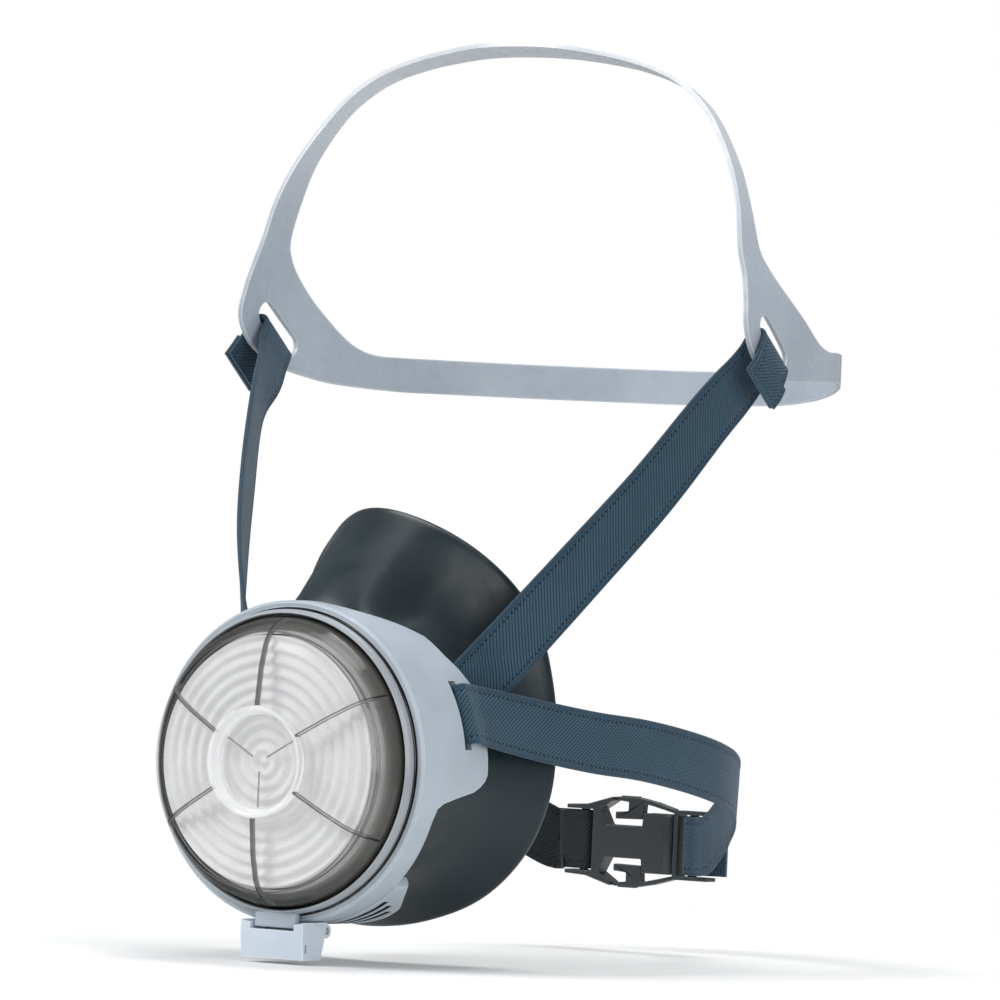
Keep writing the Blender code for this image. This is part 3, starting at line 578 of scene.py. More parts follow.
def cradle_look():
    """Milky, slightly see-through plastic, painted paler towards the crown as light, with painted
    highlights on its edges.
    """
    look = Look("cradle_plastic", (0.52, 0.565, 0.66), 0.3)
    slow = look.ramp(look.noise(26.0, 3.0), 0.3, 0.7)
    tone = look.mix(slow, (0.455, 0.515, 0.585), (0.52, 0.58, 0.65))
    _, _, height = look.split(look.place())
    # Painted light: the band grows paler higher up, towards the crown.
    tone = look.mix(look.ramp(height, 0.140, 0.205), tone, (0.68, 0.71, 0.75))
    edge = look.edges(0.9, 0.02, 0.22)
    # Painted highlight: the edges are near white.
    look.set("Base Color", look.mix(look.times(edge, 0.8), tone, (0.86, 0.88, 0.91)))
    look.set("Subsurface Weight", 0.25)
    look.set("Subsurface Radius", (0.8, 0.9, 1.0))
    look.set("Subsurface Scale", 0.002)
    look.set("Alpha", look.plus(look.times(edge, 0.08), 0.88, clamp=True))
    look.set("Roughness", look.ramp(look.noise(5.0, 4.0), 0.35, 0.75, 0.26, 0.38))
    look.bump(look.noise(1.8, 3.0), 0.02, 0.5)
    return look


def steel_look():
    look = Look("steel", (0.6, 0.6, 0.61), 0.28)
    look.set("Metallic", 1.0)
    drawn = look.noise(0.6, 4.0, stretch=(0.05, 1.0, 1.0))
    look.set("Roughness", look.ramp(drawn, 0.3, 0.7, 0.22, 0.38))
    look.bump(drawn, 0.01, 0.5)
    return look


HOUSING = moulded("housing_plastic", (0.43, 0.49, 0.55), 0.38, wear_and_highlight_colour=(0.78, 0.83, 0.87))
RING = moulded("ring_plastic", (0.33, 0.36, 0.39), 0.3, wear_and_highlight_colour=(0.70, 0.73, 0.76))
FILTER = moulded("filter_plastic", (0.70, 0.70, 0.69), 0.5)
LATCH = moulded("latch_plastic", (0.58, 0.66, 0.74), 0.34, wear_and_highlight_colour=(0.86, 0.90, 0.94))
BUCKLE = moulded("buckle_plastic", (0.028, 0.036, 0.040), 0.36, depth_mm=0.03, wear_and_highlight_colour=(0.12, 0.14, 0.15))
RUBBER = rubber_look("rubber", (0.006, 0.016, 0.021), 0.36, (0.040, 0.070, 0.082))
BLACK = rubber_look("valve_rubber", (0.016, 0.017, 0.018), 0.4, (0.05, 0.05, 0.05))
PAPER = paper_look()
SMOKE = smoke_look()
# The slits' dark grey cut walls are painted shade.
SLIT = slit_look("slit_edge_painted_shade", 0.11, 0.85)
HUB_RIB = slit_look("hub_rib", 0.30, 0.6)
WEBBING = webbing_look(
    "webbing", deep=(0.007, 0.025, 0.045), raised=(0.054, 0.116, 0.170), thread=(0.004, 0.014, 0.032),
    fluff=(0.075, 0.14, 0.19),
)
DARK_WEBBING = webbing_look(
    "dark_webbing", deep=(0.004, 0.007, 0.009), raised=(0.016, 0.024, 0.030),
    thread=(0.003, 0.004, 0.005), fluff=(0.04, 0.05, 0.06),
)
THREAD = thread_look()
CRADLE = cradle_look()
STEEL = steel_look()


# ---- filter cover ----
def filter_cap():
    """A domed clear cap with a sunk hub, slit from the hub over its edge."""
    profile = (
        (0.0, 77.6), (2.4, 76.5), (13.3, 76.5), (14.7, 79.7), (CAP_HUB_R, 80.0), (27.0, 78.7),
        (34.0, 76.8), (CAP_EDGE_R, 75.0), (39.8, 71.6), (41.4, 67.2), (42.1, 62.4), (43.9, 62.3),
        (43.9, 60.8), (40.5, 60.8), (39.9, 66.4), (38.3, 71.0), (35.9, 73.8), (33.5, 75.2),
        (27.0, 77.0), (16.3, 78.3), (14.9, 75.1), (0.0, 75.1),
    )
    cap = turned("filter_cap_clear", profile, SMOKE.material, corner=0.7, closed=False)
    cap.data.materials.append(SLIT.material)
    blades = []
    low, high = (CAP_HUB_R + 0.4, -81.5, -SLIT_WIDTH / 2), (44.0, -66.0, SLIT_WIDTH / 2)
    for k in range(CAP_SLITS // 2):
        for side in (0, 180):
            blade = box(f"blade_{k}_{side}", low, high, SLIT.material)
            blade.data.transform(Matrix.Rotation(-math.radians(30 + 60 * k + side), 4, "Y"))
            blades.append(blade)
    boolean(cap, "DIFFERENCE", blades, keep_material=True)
    stands_for(cap, "filter_cover", "filter_cap")


def hub_spokes():
    """Three faint moulded ribs inside the hub."""
    low, high = (2.8, -76.75, -0.25), (13.1, -76.4, 0.25)
    for degrees in (30, 150, 270):
        rib = box(f"hub_rib_{degrees}", low, high, HUB_RIB.material, corner=0.1)
        rib.data.transform(Matrix.Rotation(-math.radians(degrees), 4, "Y"))
        rides(rib, "filter_cover")


def retaining_ring():
    """A ring on the cap's rim, with a tab that the latch holds."""
    profile = ((42.5, 62.8), (42.5, 65.5), (42.9, 65.9), (43.9, 64.6), (43.9, 62.8))
    ring = turned("retaining_ring_body", profile, RING.material, steps=192, corner=0.25)
    tab = box("tab", (-7.0, -65.6, -47.6), (7.0, -62.8, -43.2), HOUSING.material, corner=0.5)
    ring.data.materials.append(HOUSING.material)
    boolean(ring, "UNION", [tab], keep_material=True)
    stands_for(ring, "filter_cover", "retaining_ring")


# ---- filter ----
def filter_media():
    """A disc of paper in round pleats, with soft folds."""
    points_per_pleat = 8
    deep, high = 73.75, 74.7
    edge_drop = 1.4
    front = []
    for k in range(PAPER_PLEATS * points_per_pleat):
        r = PAPER_EDGE_R * k / (PAPER_PLEATS * points_per_pleat)
        wave = 0.5 + 0.5 * math.cos(math.tau * k / points_per_pleat)
        front.append((r, deep + (high - deep) * wave - edge_drop * (r / PAPER_EDGE_R) ** 8))
    front += [(PAPER_EDGE_R, 72.6), (PAPER_EDGE_R, 62.0), (0.0, 62.0)]
    turned_part(
        "filter_paper", front, PAPER, "housing", "filter_media", "filter_paper", steps=128, corner=0.05,
        closed=False,
    )


def filter_frame():
    profile = ((36.7, 69.6), (37.8, 68.6), (37.8, 60.4), (43.8, 60.4), (43.8, 59.2), (36.7, 59.2))
    rim = turned("filter_frame_rim", profile, FILTER.material)
    bars = [
        box("bar_x", (-37.2, -61.4, -1.0), (37.2, -59.6, 1.0), FILTER.material),
        box("bar_z", (-1.0, -61.4, -37.2), (1.0, -59.6, 37.2), FILTER.material),
    ]
    boolean(rim, "UNION", bars)
    stands_for(rim, "housing", "filter_frame")


def filter_gasket():
    profile = ((37.5, 58.9), (43.4, 58.9), (43.4, 58.2), (37.5, 58.2))
    turned_part("filter_gasket_ring", profile, BLACK, "housing", "filter_gasket", "valve_rubber")


# ---- housing ----
def housing_rear_edge(degrees):
    """How far back the housing's wall reaches, with an ear on each side."""
    keys = (
        (-90, -52.0), (-48, -51.6), (-40, -51.8), (-19, -52.6), (-13, -51.4), (-10.5, -45.0),
        (-9, -36.4), (-6.5, -31.6), (-3, -28.2), (32, -28.8), (38, -31.0), (44, -33.6), (54, -35.4),
        (61, -41.0), (71, -51.0), (79, -55.6), (90, -56.2),
    )
    return straight_value(keys, right_side(degrees))


def ear_slots():
    """A cutter through the wall in each ear, where the straps pass."""
    cutters = []
    turns = evenly(*EAR_SLOT_ANGLES, 12)
    for side, angles in enumerate((turns, [180 - a for a in reversed(turns)])):
        rows = [[polar(HOUSING_MIDDLE_R, a, y) for a in angles] for y in EAR_SLOT_Y]
        cutters.append(sheet_between(f"ear_slot_{side}", rows, 7.0, None))
    return cutters


def front_housing():
    """The wall round the filter with its flange and collar, the latch's lug and the slotted ears."""
    around = [2.0 * k for k in range(180)]
    depths = [housing_rear_edge(a) - HOUSING_FRONT_Y for a in around]
    rows = []
    for part in evenly(0.0, 1.0, 4):
        ys = [HOUSING_FRONT_Y + depth * part for depth in depths]
        rows.append([polar(HOUSING_MIDDLE_R, a, y) for a, y in zip(around, ys)])
    housing = sheet_between("housing_shell", rows, HOUSING_WALL, HOUSING.material, closed=True)
    core = (
        (33.0, 57.9), (45.4, 57.9), (45.4, 55.9), (37.0, 55.9), (37.0, 49.4), (35.0, 49.4),
        (35.0, 56.1), (33.0, 56.1),
    )
    joined = [
        turned("core", core, HOUSING.material, steps=180, corner=0.02),
        box("lug", (-8.2, -56.4, -50.2), (8.2, -52.3, -45.0), HOUSING.material),
    ]
    boolean(housing, "UNION", joined)
    chamfer = ((45.3, 62.5), (47.7, 62.5), (47.7, 59.6))
    cutters = [
        rod("lug_bore", 1.15, (-20, *LATCH_PIN[1:]), (20, *LATCH_PIN[1:])),
        turned("front_chamfer", chamfer, None, steps=180, corner=0.01),
    ]
    boolean(housing, "DIFFERENCE", cutters + ear_slots())
    softened(housing, 0.35)
    stands_for(housing, "housing", "front_housing")


def cover_rear_edge(degrees):
    """How far back the cover reaches, less at its two ends."""
    keys = ((-90, -29.6), (-72, -29.6), (-62, -33.0), (-54, -39.6), (-46, -45.0))
    return straight_value(keys, right_side(degrees))


def louvre_cutters():
    """Curved blades for the louvres, in pairs to either side of the chin; their black walls are painted
    shade.
    """
    blades = []
    half = LOUVRE_WIDTH / 2
    for y, reach in LOUVRES:
        for low in (-86, -94 - reach):
            turns = evenly(low, low + reach, 12)
            rows = [[polar(COVER_R, a, depth) for a in turns] for depth in (y - half, y + half)]
            blades.append(sheet_between("louvre", rows, 7.0, BLACK.material))
    return blades


def exhalation_cover():
    """A curved louvred cover under the chin."""
    first, last = COVER_ANGLES
    foot_r = 43.9
    around = evenly(first, last, 43)
    depths = [cover_rear_edge(a) - COVER_FRONT_Y for a in around]
    rows = []
    for radius, part, beyond in (
        (foot_r, 0.0, 0.4), (COVER_R, 0.0, 0.0), (COVER_R, 0.33, 0.0), (COVER_R, 0.67, 0.0),
        (COVER_R, 1.0, -1.0), (45.6, 1.0, 0.6),
    ):
        ys = [COVER_FRONT_Y + depth * part + beyond for depth in depths]
        row = [polar(radius, a, y) for a, y in zip(around, ys)]
        rows.append([polar(foot_r, first - 0.8, ys[0])] + row + [polar(foot_r, last + 0.8, ys[-1])])
    cover = sheet_between("cover_shell", rows, COVER_WALL, HOUSING.material, offset=1.0)
    louvres = louvre_cutters()
    # The louvres' cut walls take the black rubber: painted shade in the openings.
    cover.data.materials.append(BLACK.material)
    boolean(cover, "DIFFERENCE", louvres, keep_material=True)
    softened(cover, 0.3)
    stands_for(cover, "housing", "exhalation_cover")


# ---- face-piece ----
# Each place on the seal: its angle, its distance from the axis and how far back it lies.
SEAL = (
    (-90, 48.2, -17.4), (-70, 49.0, -12.8), (-50, 50.2, -6.2), (-30, 49.6, -0.4), (-10, 49.4, 2.2),
    (10, 50.6, 2.6), (30, 54.4, 3.0), (50, 62.2, 0.6), (70, 69.8, -9.8), (90, 74.8, -21.6),
)


def seal_outline(degrees):
    place = (right_side(degrees) + 90) / 20
    i = min(int(place), len(SEAL) - 2)
    before = SEAL[i - 1] if i > 0 else (-110, *SEAL[1][1:])
    after = SEAL[i + 2] if i + 2 < len(SEAL) else (110, *SEAL[-2][1:])
    point = catmull([before, SEAL[i], SEAL[i + 1], after], (1 + place - i) / 3)
    return point[1], point[2]


def face_flare(degrees):
    """How late the rubber widens on its way back: above 1 late, below 1 early."""
    keys = ((-90, 2.2), (-50, 3.0), (48, 3.0), (68, 2.4), (73, 1.3), (77, 0.92), (90, 0.88))
    return smooth_value(keys, right_side(degrees))


def facepiece():
    """The rubber: a collar on the housing, a flared wall and a lip that turns in on the face."""
    columns = 80
    flare_y = -49.2
    around = [360 * k / columns for k in range(columns)]
    rows = [[polar(RUBBER_COLLAR_R, a, y) for a in around] for y in (-54.6, -54.2, -50.6)]
    for part in (0.0, 0.15, 0.35, 0.55, 0.72, 0.86, 0.95, 1.0):
        row = []
        for a in around:
            out, back = seal_outline(a)
            start = 40.1 + 5.1 * max(0.0, math.sin(math.radians(a))) ** 4
            radius = start + (out - start) * part ** face_flare(a)
            row.append(polar(radius, a, flare_y + (back - flare_y) * part))
        rows.append(row)
    for inward, backward in ((0.9, 2.2), (3.4, 3.6), (8.0, 2.8), (12.1, -0.4), (12.5, -0.6)):
        row = []
        for a in around:
            out, back = seal_outline(a)
            row.append(polar(out - inward, a, back + backward))
        rows.append(row)
    body = sheet_between("facepiece_rubber", rows, RUBBER_WALL, RUBBER.material, closed=True, offset=1.0)
    modify(body, "smooth", "SUBSURF", levels=1, render_levels=1)
    settled(body, 60)
    hole = rod("exhale_hole", 10.4, (0, EXHALE_Y, -30), (0, EXHALE_Y, -48), sides=64)
    boolean(body, "DIFFERENCE", [hole])
    body.data.set_sharp_from_angle(angle=math.radians(55))
    stands_for(body, "housing", "facepiece")


def clamp_ring():
    profile = ((39.95, 54.4), (41.6, 54.4), (41.6, 50.9), (39.95, 50.9))
    turned_part("clamp_band", profile, HOUSING, "housing", "facepiece_clamp_ring", "housing_plastic")


# ---- valves ----
def inhalation_valve():
    """A seat with six windows, a flap behind it and the stud that holds the flap."""
    profile = (
        (2.3, 55.6), (34.7, 55.6), (34.7, 53.9), (28.6, 53.9), (28.2, 53.7), (27.4, 53.7), (27.0, 53.9),
        (2.3, 53.9),
    )
    seat = turned("inhalation_seat_disc", profile, FILTER.material, corner=0.2)
    windows = []
    for k in range(6):
        inner = [polar(7.0, 60 * k + a, -54.7) for a in evenly(-18, 18, 4)]
        outer = [polar(24.0, 60 * k + a, -54.7) for a in evenly(-25, 25, 4)]
        windows.append(sheet_between(f"window_{k}", [inner, outer], 6.0, None))
    boolean(seat, "DIFFERENCE", windows)
    softened(seat, 0.2)
    stands_for(seat, "housing", "inhalation_valve_seat")
    flap = (
        (2.5, 53.3), (27.0, 53.3), (27.0, 52.9), (25.6, 52.5), (8.0, 52.5), (7.6, 52.35), (7.0, 52.35),
        (6.6, 52.5), (2.5, 52.5),
    )
    turned_part(
        "inhalation_flap_disc", flap, BLACK, "inhalation_flap", "inhalation_valve", "valve_rubber",
        corner=0.15,
    )
    stud = (
        (0.0, 57.2), (3.4, 57.0), (3.8, 56.0), (1.9, 55.9), (1.9, 50.4), (4.2, 50.3), (3.4, 49.3),
        (0.0, 49.0),
    )
    turned_part(
        "inhalation_stud_knob", stud, BLACK, "housing", "inhalation_valve_stud", "valve_rubber",
        steps=48, corner=0.3, closed=False,
    )


def exhalation_valve():
    """A short tube with three spokes across it, a flap under it and the flap's stud."""
    place = (0, EXHALE_Y, 0)
    tube = ((8.4, -36.4), (10.0, -36.4), (10.0, -41.2), (8.4, -41.2))
    seat = turned(
        "exhalation_seat_tube", tube, FILTER.material, steps=96, corner=0.2, down=True, place=place,
    )
    parts = [rod("hub", 2.6, (0, EXHALE_Y, -38.6), (0, EXHALE_Y, -41.2), FILTER.material)]
    low, high = (-9.0, -38.2, -40.9), (9.0, -37.0, -39.1)
    for k in range(3):
        turn = Matrix.Rotation(math.pi / 3 * k, 4, "Z")
        parts.append(box(f"spoke_{k}", low, high, FILTER.material, turn=turn))
    boolean(seat, "UNION", parts)
    boolean(seat, "DIFFERENCE", [rod("stud_bore", 1.5, (0, EXHALE_Y, -35), (0, EXHALE_Y, -45))])
    stands_for(seat, "housing", "exhalation_valve_seat")
    flap = ((1.6, -41.5), (9.0, -41.5), (8.6, -42.3), (1.6, -42.3))
    turned_part(
        "exhalation_flap_disc", flap, BLACK, "exhalation_flap", "exhalation_valve", "valve_rubber",
        steps=96, corner=0.15, down=True, place=place,
    )
    stud = (
        (0.0, -37.2), (2.2, -37.4), (2.2, -38.3), (1.2, -38.4), (1.2, -44.2), (2.2, -44.3), (2.0, -45.0),
        (0.0, -45.0),
    )
    turned_part(
        "exhalation_stud_knob", stud, BLACK, "housing", "exhalation_valve_stud", "valve_rubber",
        steps=40, corner=0.2, closed=False, down=True, place=place,
    )


# ---- head cradle ----
def share(value, low, high):
    """How far value is from low to high, kept between 0 and 1."""
    return min(max((value - low) / (high - low), 0.0), 1.0)


def cradle_half_width(y):
    """Half the width at the lower band: squarer than an ellipse, drawn in behind the slots."""
    part = share(y, CRADLE_MIDDLE_Y, CRADLE_BACK_Y)
    drawn_in = CRADLE_WAIST * math.sin(math.pi * share(y, *CRADLE_WAIST_Y))
    power = CRADLE_SQUARENESS
    return CRADLE_SIDE_X * (1 - part ** power) ** (1 / power) - drawn_in


def cradle_side_x(y, z):
    """Half the cradle's width at a place on its side, which narrows upwards."""
    over = max(z - CRADLE_NARROWS_FROM_Z, 0.0)
    return cradle_half_width(y) - CRADLE_NARROWING * over * over


def cradle_lift(y, height, k):
    """How far the soft band rides up on its way back, at the k-th point from its lower edge."""
    rise = height * math.sin(math.pi * share(y, LIFT_START_Y, CRADLE_BACK_Y))
    return rise * (1.3 - 0.1 * k)


def cradle_stations(lift):
    """Rows of four points across one half of the band, from the crown to the back of the head."""
    stations = []
    crown = (
        (0.0, 47.0, 212.7, 8.0, 21.0, 0.0), (13.0, 47.2, 212.3, 8.0, 20.0, 0.03),
        (25.0, 49.2, 211.0, 7.8, 18.0, 0.06), (38.0, 50.6, 208.6, 7.4, 16.0, 0.09),
        (50.4, 50.6, 204.6, 6.8, 14.0, 0.12), (59.6, 49.6, 199.0, 6.4, 12.0, 0.14),
        (67.2, 48.2, 191.6, 6.4, 8.0, 0.15), (75.6, 45.6, 178.8, 7.8, 4.0, 0.18),
        (80.6, 43.6, 166.5, 10.0, 0.0, 0.20),
    )
    for x, y, z, width, tilt, lean in crown:
        a = math.radians(tilt)
        half = Vector((-lean, math.cos(a), -math.sin(a))) * width / 2
        middle = Vector((x, y, z))
        stations.append([middle + half * k for k in (-1, -0.33, 0.33, 1)])
    side = (
        ((36.3, 154.5), (48.4, 154.8)), ((35.4, 147.0), (51.4, 149.2)), ((34.0, 139.5), (56.4, 144.0)),
        ((33.2, 130.5), (65.0, 137.0)), ((39.0, 122.2), (73.0, 131.4)), ((51.0, 116.4), (80.0, 126.6)),
        ((65.0, 113.4), (87.0, 123.0)), ((79.0, 111.6), (95.0, 121.2)),
    )
    for outer, inner in side:
        ys, zs = evenly(outer[0], inner[0], 3), evenly(outer[1], inner[1], 3)
        row = []
        for k, (y, z) in enumerate(zip(ys, zs)):
            row.append(Vector((cradle_side_x(y, z), y, z + cradle_lift(y, lift, k))))
        stations.append(row)
    for degrees in (33, 40, 48, 57, 66, 77, 90):
        depth = math.sin(math.radians(degrees)) ** (2 / CRADLE_SQUARENESS)
        y = CRADLE_MIDDLE_Y + (CRADLE_BACK_Y - CRADLE_MIDDLE_Y) * depth
        x = cradle_half_width(y)
        zs = [BAND_LOW_Z + BAND_HEIGHT * k / 3 + cradle_lift(y, lift, k) for k in range(4)]
        stations.append([Vector((x, y, z)) for z in zs])
    return stations


def cradle_slots():
    """A round-ended cutter for the strap's slot in each side."""
    round_r = CRADLE_SLOT_WIDTH / 2
    straight = (CRADLE_SLOT_LENGTH - CRADLE_SLOT_WIDTH) / 2
    through = 8
    turn = Matrix.Rotation(math.atan2(CRADLE_SLOT_DIR[2], CRADLE_SLOT_DIR[1]), 4, "X")
    half, reach = Vector((through, straight, round_r)), Vector((through, 0, 0))
    slots = []
    for side in (1, -1):
        centre = Vector((side * CRADLE_SLOT[0], *CRADLE_SLOT[1:]))
        slot = box(f"slot_{side}", centre - half, centre + half, turn=turn)
        ends = []
        for end in (-straight, straight):
            middle = centre + turn @ Vector((0, end, 0))
            ends.append(rod("slot_end", round_r, middle - reach, middle + reach))
        boolean(slot, "UNION", ends)
        slots.append(slot)
    return slots


def head_cradle():
    """The crown band and the neck band in one moulding, with a slot at each side."""
    right_half = [mirrored(row) for row in reversed(cradle_stations(0.0)[1:-1])]
    ring = cradle_stations(LEFT_LIFT) + right_half
    loop = ring[-2:] + ring + ring[:3]
    fine = []
    each = 5
    for i in range(len(ring)):
        for k in range(each):
            t = (i + 2 + k / each) / (len(loop) - 1)
            fine.append([catmull([row[j] for row in loop], t) for j in range(4)])
    rows = [[catmull(station, part) for station in fine] for part in evenly(0.0, 1.0, 12)]
    cradle = sheet_between("cradle_band", rows, CRADLE_THICK, CRADLE.material, closed=True)
    boolean(cradle, "DIFFERENCE", cradle_slots())
    softened(cradle, 0.45, angle=50.0, segments=3, sharp=50.0)
    stands_for(cradle, "cradle", "head_cradle")


# ---- straps ----
# One side of the webbing's upper face in section, with its raised selvedge.
HALF_SECTION = (
    (-9.0, 0.0), (-8.92, 0.34), (-8.6, 0.58), (-7.9, 0.6), (-7.55, 0.46), (-7.1, 0.52), (-3.6, 0.55),
)
SECTION = (*HALF_SECTION, (0.0, 0.55), *((-v, t) for v, t in reversed(HALF_SECTION)))


def strap(name, points, across, first, last, each=7, look=None):
    """Elastic webbing along part of a route, from one of its points to another."""
    outline = list(SECTION) + [(v, -t) for v, t in reversed(SECTION[1:-1])]
    steps = (last - first) * each
    span = len(points) - 1
    places = [catmull(points, (first + k / each) / span) for k in range(steps + 1)]
    lengths = [0.0]
    for a, b in zip(places, places[1:]):
        lengths.append(lengths[-1] + (b - a).length)
    bm = bmesh.new()
    uv = bm.loops.layers.uv.new("UVMap")
    rings = []
    for k, place in enumerate(places):
        t = (first + k / each) / span
        ahead = catmull(points, t + 0.004) - catmull(points, t - 0.004)
        if ahead.length < 1e-6:
            ahead = places[min(k + 1, steps)] - places[max(k - 1, 0)]
        ahead.normalize()
        wide = catmull(across, t)
        flat = (wide - ahead * wide.dot(ahead)).normalized()
        up = ahead.cross(flat)
        rings.append([bm.verts.new((place + flat * v + up * h) * MM) for v, h in outline])
    count = len(outline)
    for k in range(steps):
        for i in range(count):
            j = (i + 1) % count
            face = bm.faces.new((rings[k][i], rings[k][j], rings[k + 1][j], rings[k + 1][i]))
            edge_v = [outline[i][0], outline[j][0], outline[j][0], outline[i][0]]
            spots = [lengths[k], lengths[k], lengths[k + 1], lengths[k + 1]]
            for loop, u, v in zip(face.loops, spots, edge_v):
                loop[uv].uv = (u, v)
    for ring in (rings[0], rings[-1]):
        face = bm.faces.new(ring)
        for loop in face.loops:
            loop[uv].uv = (0.4, 0.2)
    return piece(name, bm, (look or WEBBING).material, sharp=60)


def loop_point(run, x):
    """A place on the strap's loop: run along the loop from the cradle's bar, x out to the side."""
    return (x, CRADLE_BAR[1] - CRADLE_SLOT_DIR[2] * run, CRADLE_BAR[2] + CRADLE_SLOT_DIR[1] * run)


def upper_route(middle, fold):
    """From the ear's slot up to the cradle, through its slot and folded back."""
    start = [
        (39.5, -39.3, 14.3), (38.3, -33.8, 17.3), (36.8, -27.4, 21.0), (40.5, -21.2, 28.4),
        (47.8, -18.0, 37.6),
    ]
    loop = [(-16, 83.0), (-9.0, 84.8), (-5.4, 85.3), (-2.5, 85.9), (-1.3, 88.2), (-2.5, 90.4), *fold]
    across = [
        (0.34, 0.0, -0.94), (0.40, 0.30, -0.86), (0.44, 0.44, -0.78), (0.44, 0.55, -0.71),
        (0.44, 0.61, -0.66),
    ]
    across += [width for _, width in middle]
    across += [(0.08, 0.77, -0.62)] + [CRADLE_SLOT_DIR] * (len(loop) - 1)
    return start + [place for place, _ in middle] + [loop_point(run, x) for run, x in loop], across


def lower_route():
    """From the ear's slot round the cheek to behind the neck."""
    points = [
        (42.6, -38.6, 15.5), (44.1, -38.3, 16.0), (45.2, -36.6, 16.3), (45.2, -33.0, 16.0),
        (46.0, -28.0, 15.0), (51.6, -9.0, 11.6), (57.4, 11.0, 8.6), (62.0, 31.0, 6.6), (65.0, 51.4, 3.4),
        (65.2, 69.0, 0.0), (61.2, 84.4, -3.4), (53.6, 98.4, -8.0), (43.0, 111.5, -14.0),
    ]
    across = [(0.34, 0.0, -0.94)] * 3 + [
        (0.34, 0.02, -0.94), (0.30, 0.06, -0.95), (0.16, 0.14, -0.98), (0.08, 0.14, -0.98),
        (0.03, 0.14, -0.98), (-0.02, 0.16, -0.98), (-0.04, 0.14, -0.98), (-0.08, 0.12, -0.98),
        (-0.10, 0.10, -0.98), (-0.08, 0.06, -0.99),
    ]
    return points, across


# The straps' ends at the buckle, from the buckle's middle.
LEFT_END = (
    (39.0, -9.6, 3.8), (33.6, -5.6, 0.6), (28.5, -2.5, 0), (24.5, -1.8, 0), (23.4, 0.0, 0),
    (24.5, 1.8, 0), (28.5, 2.1, 0), (32.5, 3.3, 0), (36.0, 3.6, 0),
)
RIGHT_END = (
    (-24.0, -1.6, 0), (-19.0, -1.9, 0), (-12.6, -2.0, 0), (-11.0, -1.7, 0), (-9.9, 0.0, 0),
    (-11.0, 1.7, 0), (-12.6, 2.0, 0), (-19.0, 1.9, 0), (-25.5, 0.6, 0),
)


def strap_end(places):
    return [BUCKLE_PLACE + Vector(place) for place in places]


def stitch_row(middle, across, lift):
    """Threads in a row across the webbing, as (start, end, way up)."""
    starts = [STITCH_PITCH * k + FIRST_STITCH for k in range(STITCHES_IN_ROW)]
    return [(middle + across * v, middle + across * (v + STITCH_LENGTH), lift) for v in starts]


def stitches(name, spots):
    """Short threads, each lying between two points on the webbing."""
    half_width, half_height = 0.28 * MM, 0.22 * MM
    bm = bmesh.new()
    for a, b, lift in spots:
        a, b, lift = Vector(a) * MM, Vector(b) * MM, Vector(lift).normalized()
        ahead = (b - a).normalized()
        side = ahead.cross(lift).normalized()
        basis = Matrix((side, ahead, lift)).transposed().to_4x4()
        scale = Matrix.Diagonal((half_width, (b - a).length / 2, half_height, 1))
        place = Matrix.Translation((a + b) / 2) @ basis @ scale
        bmesh.ops.create_icosphere(bm, subdivisions=2, radius=1.0, matrix=place)
    return piece(name, bm, THREAD.material, sharp=80)


def upper_straps():
    """Each upper strap in two blended lengths, with its sewn hem."""
    for side, sign, middle, fold_end in (
        ("left", 1, LEFT_STRAP_MIDDLE, LEFT_FOLD), ("right", -1, RIGHT_STRAP_MIDDLE, RIGHT_FOLD),
    ):
        points, widths = upper_route(middle, fold_end)
        if sign < 0:
            points, widths = mirrored(points), mirrored(widths)
        main = strap(f"{side}_upper_webbing", points, widths, 0, 9)
        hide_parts(f"{side}_upper_strap")
        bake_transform(main)
        fold = strap(f"{side}_upper_fold", points, widths, 9, len(points) - 1, each=6)
        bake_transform(fold)
        upper_hem(side, sign, fold_end)


def upper_hem(side, sign, fold_end):
    """The end of the fold, turned over once more and sewn flat across."""
    across = Vector(CRADLE_SLOT_DIR)
    runs = [(run - 0.2, x + 1.25) for run, x in fold_end[1:]]
    centre = [Vector(loop_point(run, sign * x)) for run, x in runs]
    hem = strap(f"{side}_upper_hem", centre, [across] * 3, 0, 2)
    rides(hem, "upper_straps")
    spots = []
    for row in (-10.6, -15.6):
        out = straight_value(sorted(runs), row) + 0.62
        spots += stitch_row(Vector(loop_point(row, sign * out)), across, (sign, 0, 0))
    rides(stitches(f"{side}_upper_stitches", spots), "upper_straps")


def lower_straps():
    """The left strap in two blended lengths to the plug, and the right one to the socket."""
    route, across = lower_route()
    down = Vector((0, 0, -1))
    points = [Vector(p) for p in route] + strap_end(LEFT_END)
    widths = [Vector(a) for a in across] + [down] * len(LEFT_END)
    main = strap("left_lower_webbing", points, widths, 0, 8)
    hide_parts("left_lower_strap")
    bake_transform(main)
    end = strap("left_lower_end", points, widths, 8, len(points) - 1)
    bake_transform(end)
    points = mirrored(route) + strap_end(RIGHT_END)
    widths = mirrored(across) + [down] * len(RIGHT_END)
    main = strap("right_lower_webbing", points, widths, 0, len(points) - 1, look=DARK_WEBBING)
    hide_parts("right_lower_strap")
    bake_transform(main)
    spots = []
    for row in (-20.5, -22.6):
        spots += stitch_row(BUCKLE_PLACE + Vector((row, 2.45, 0)), down, (0, 1, 0))
    rides(stitches("right_lower_stitches", spots), "neck_loop")


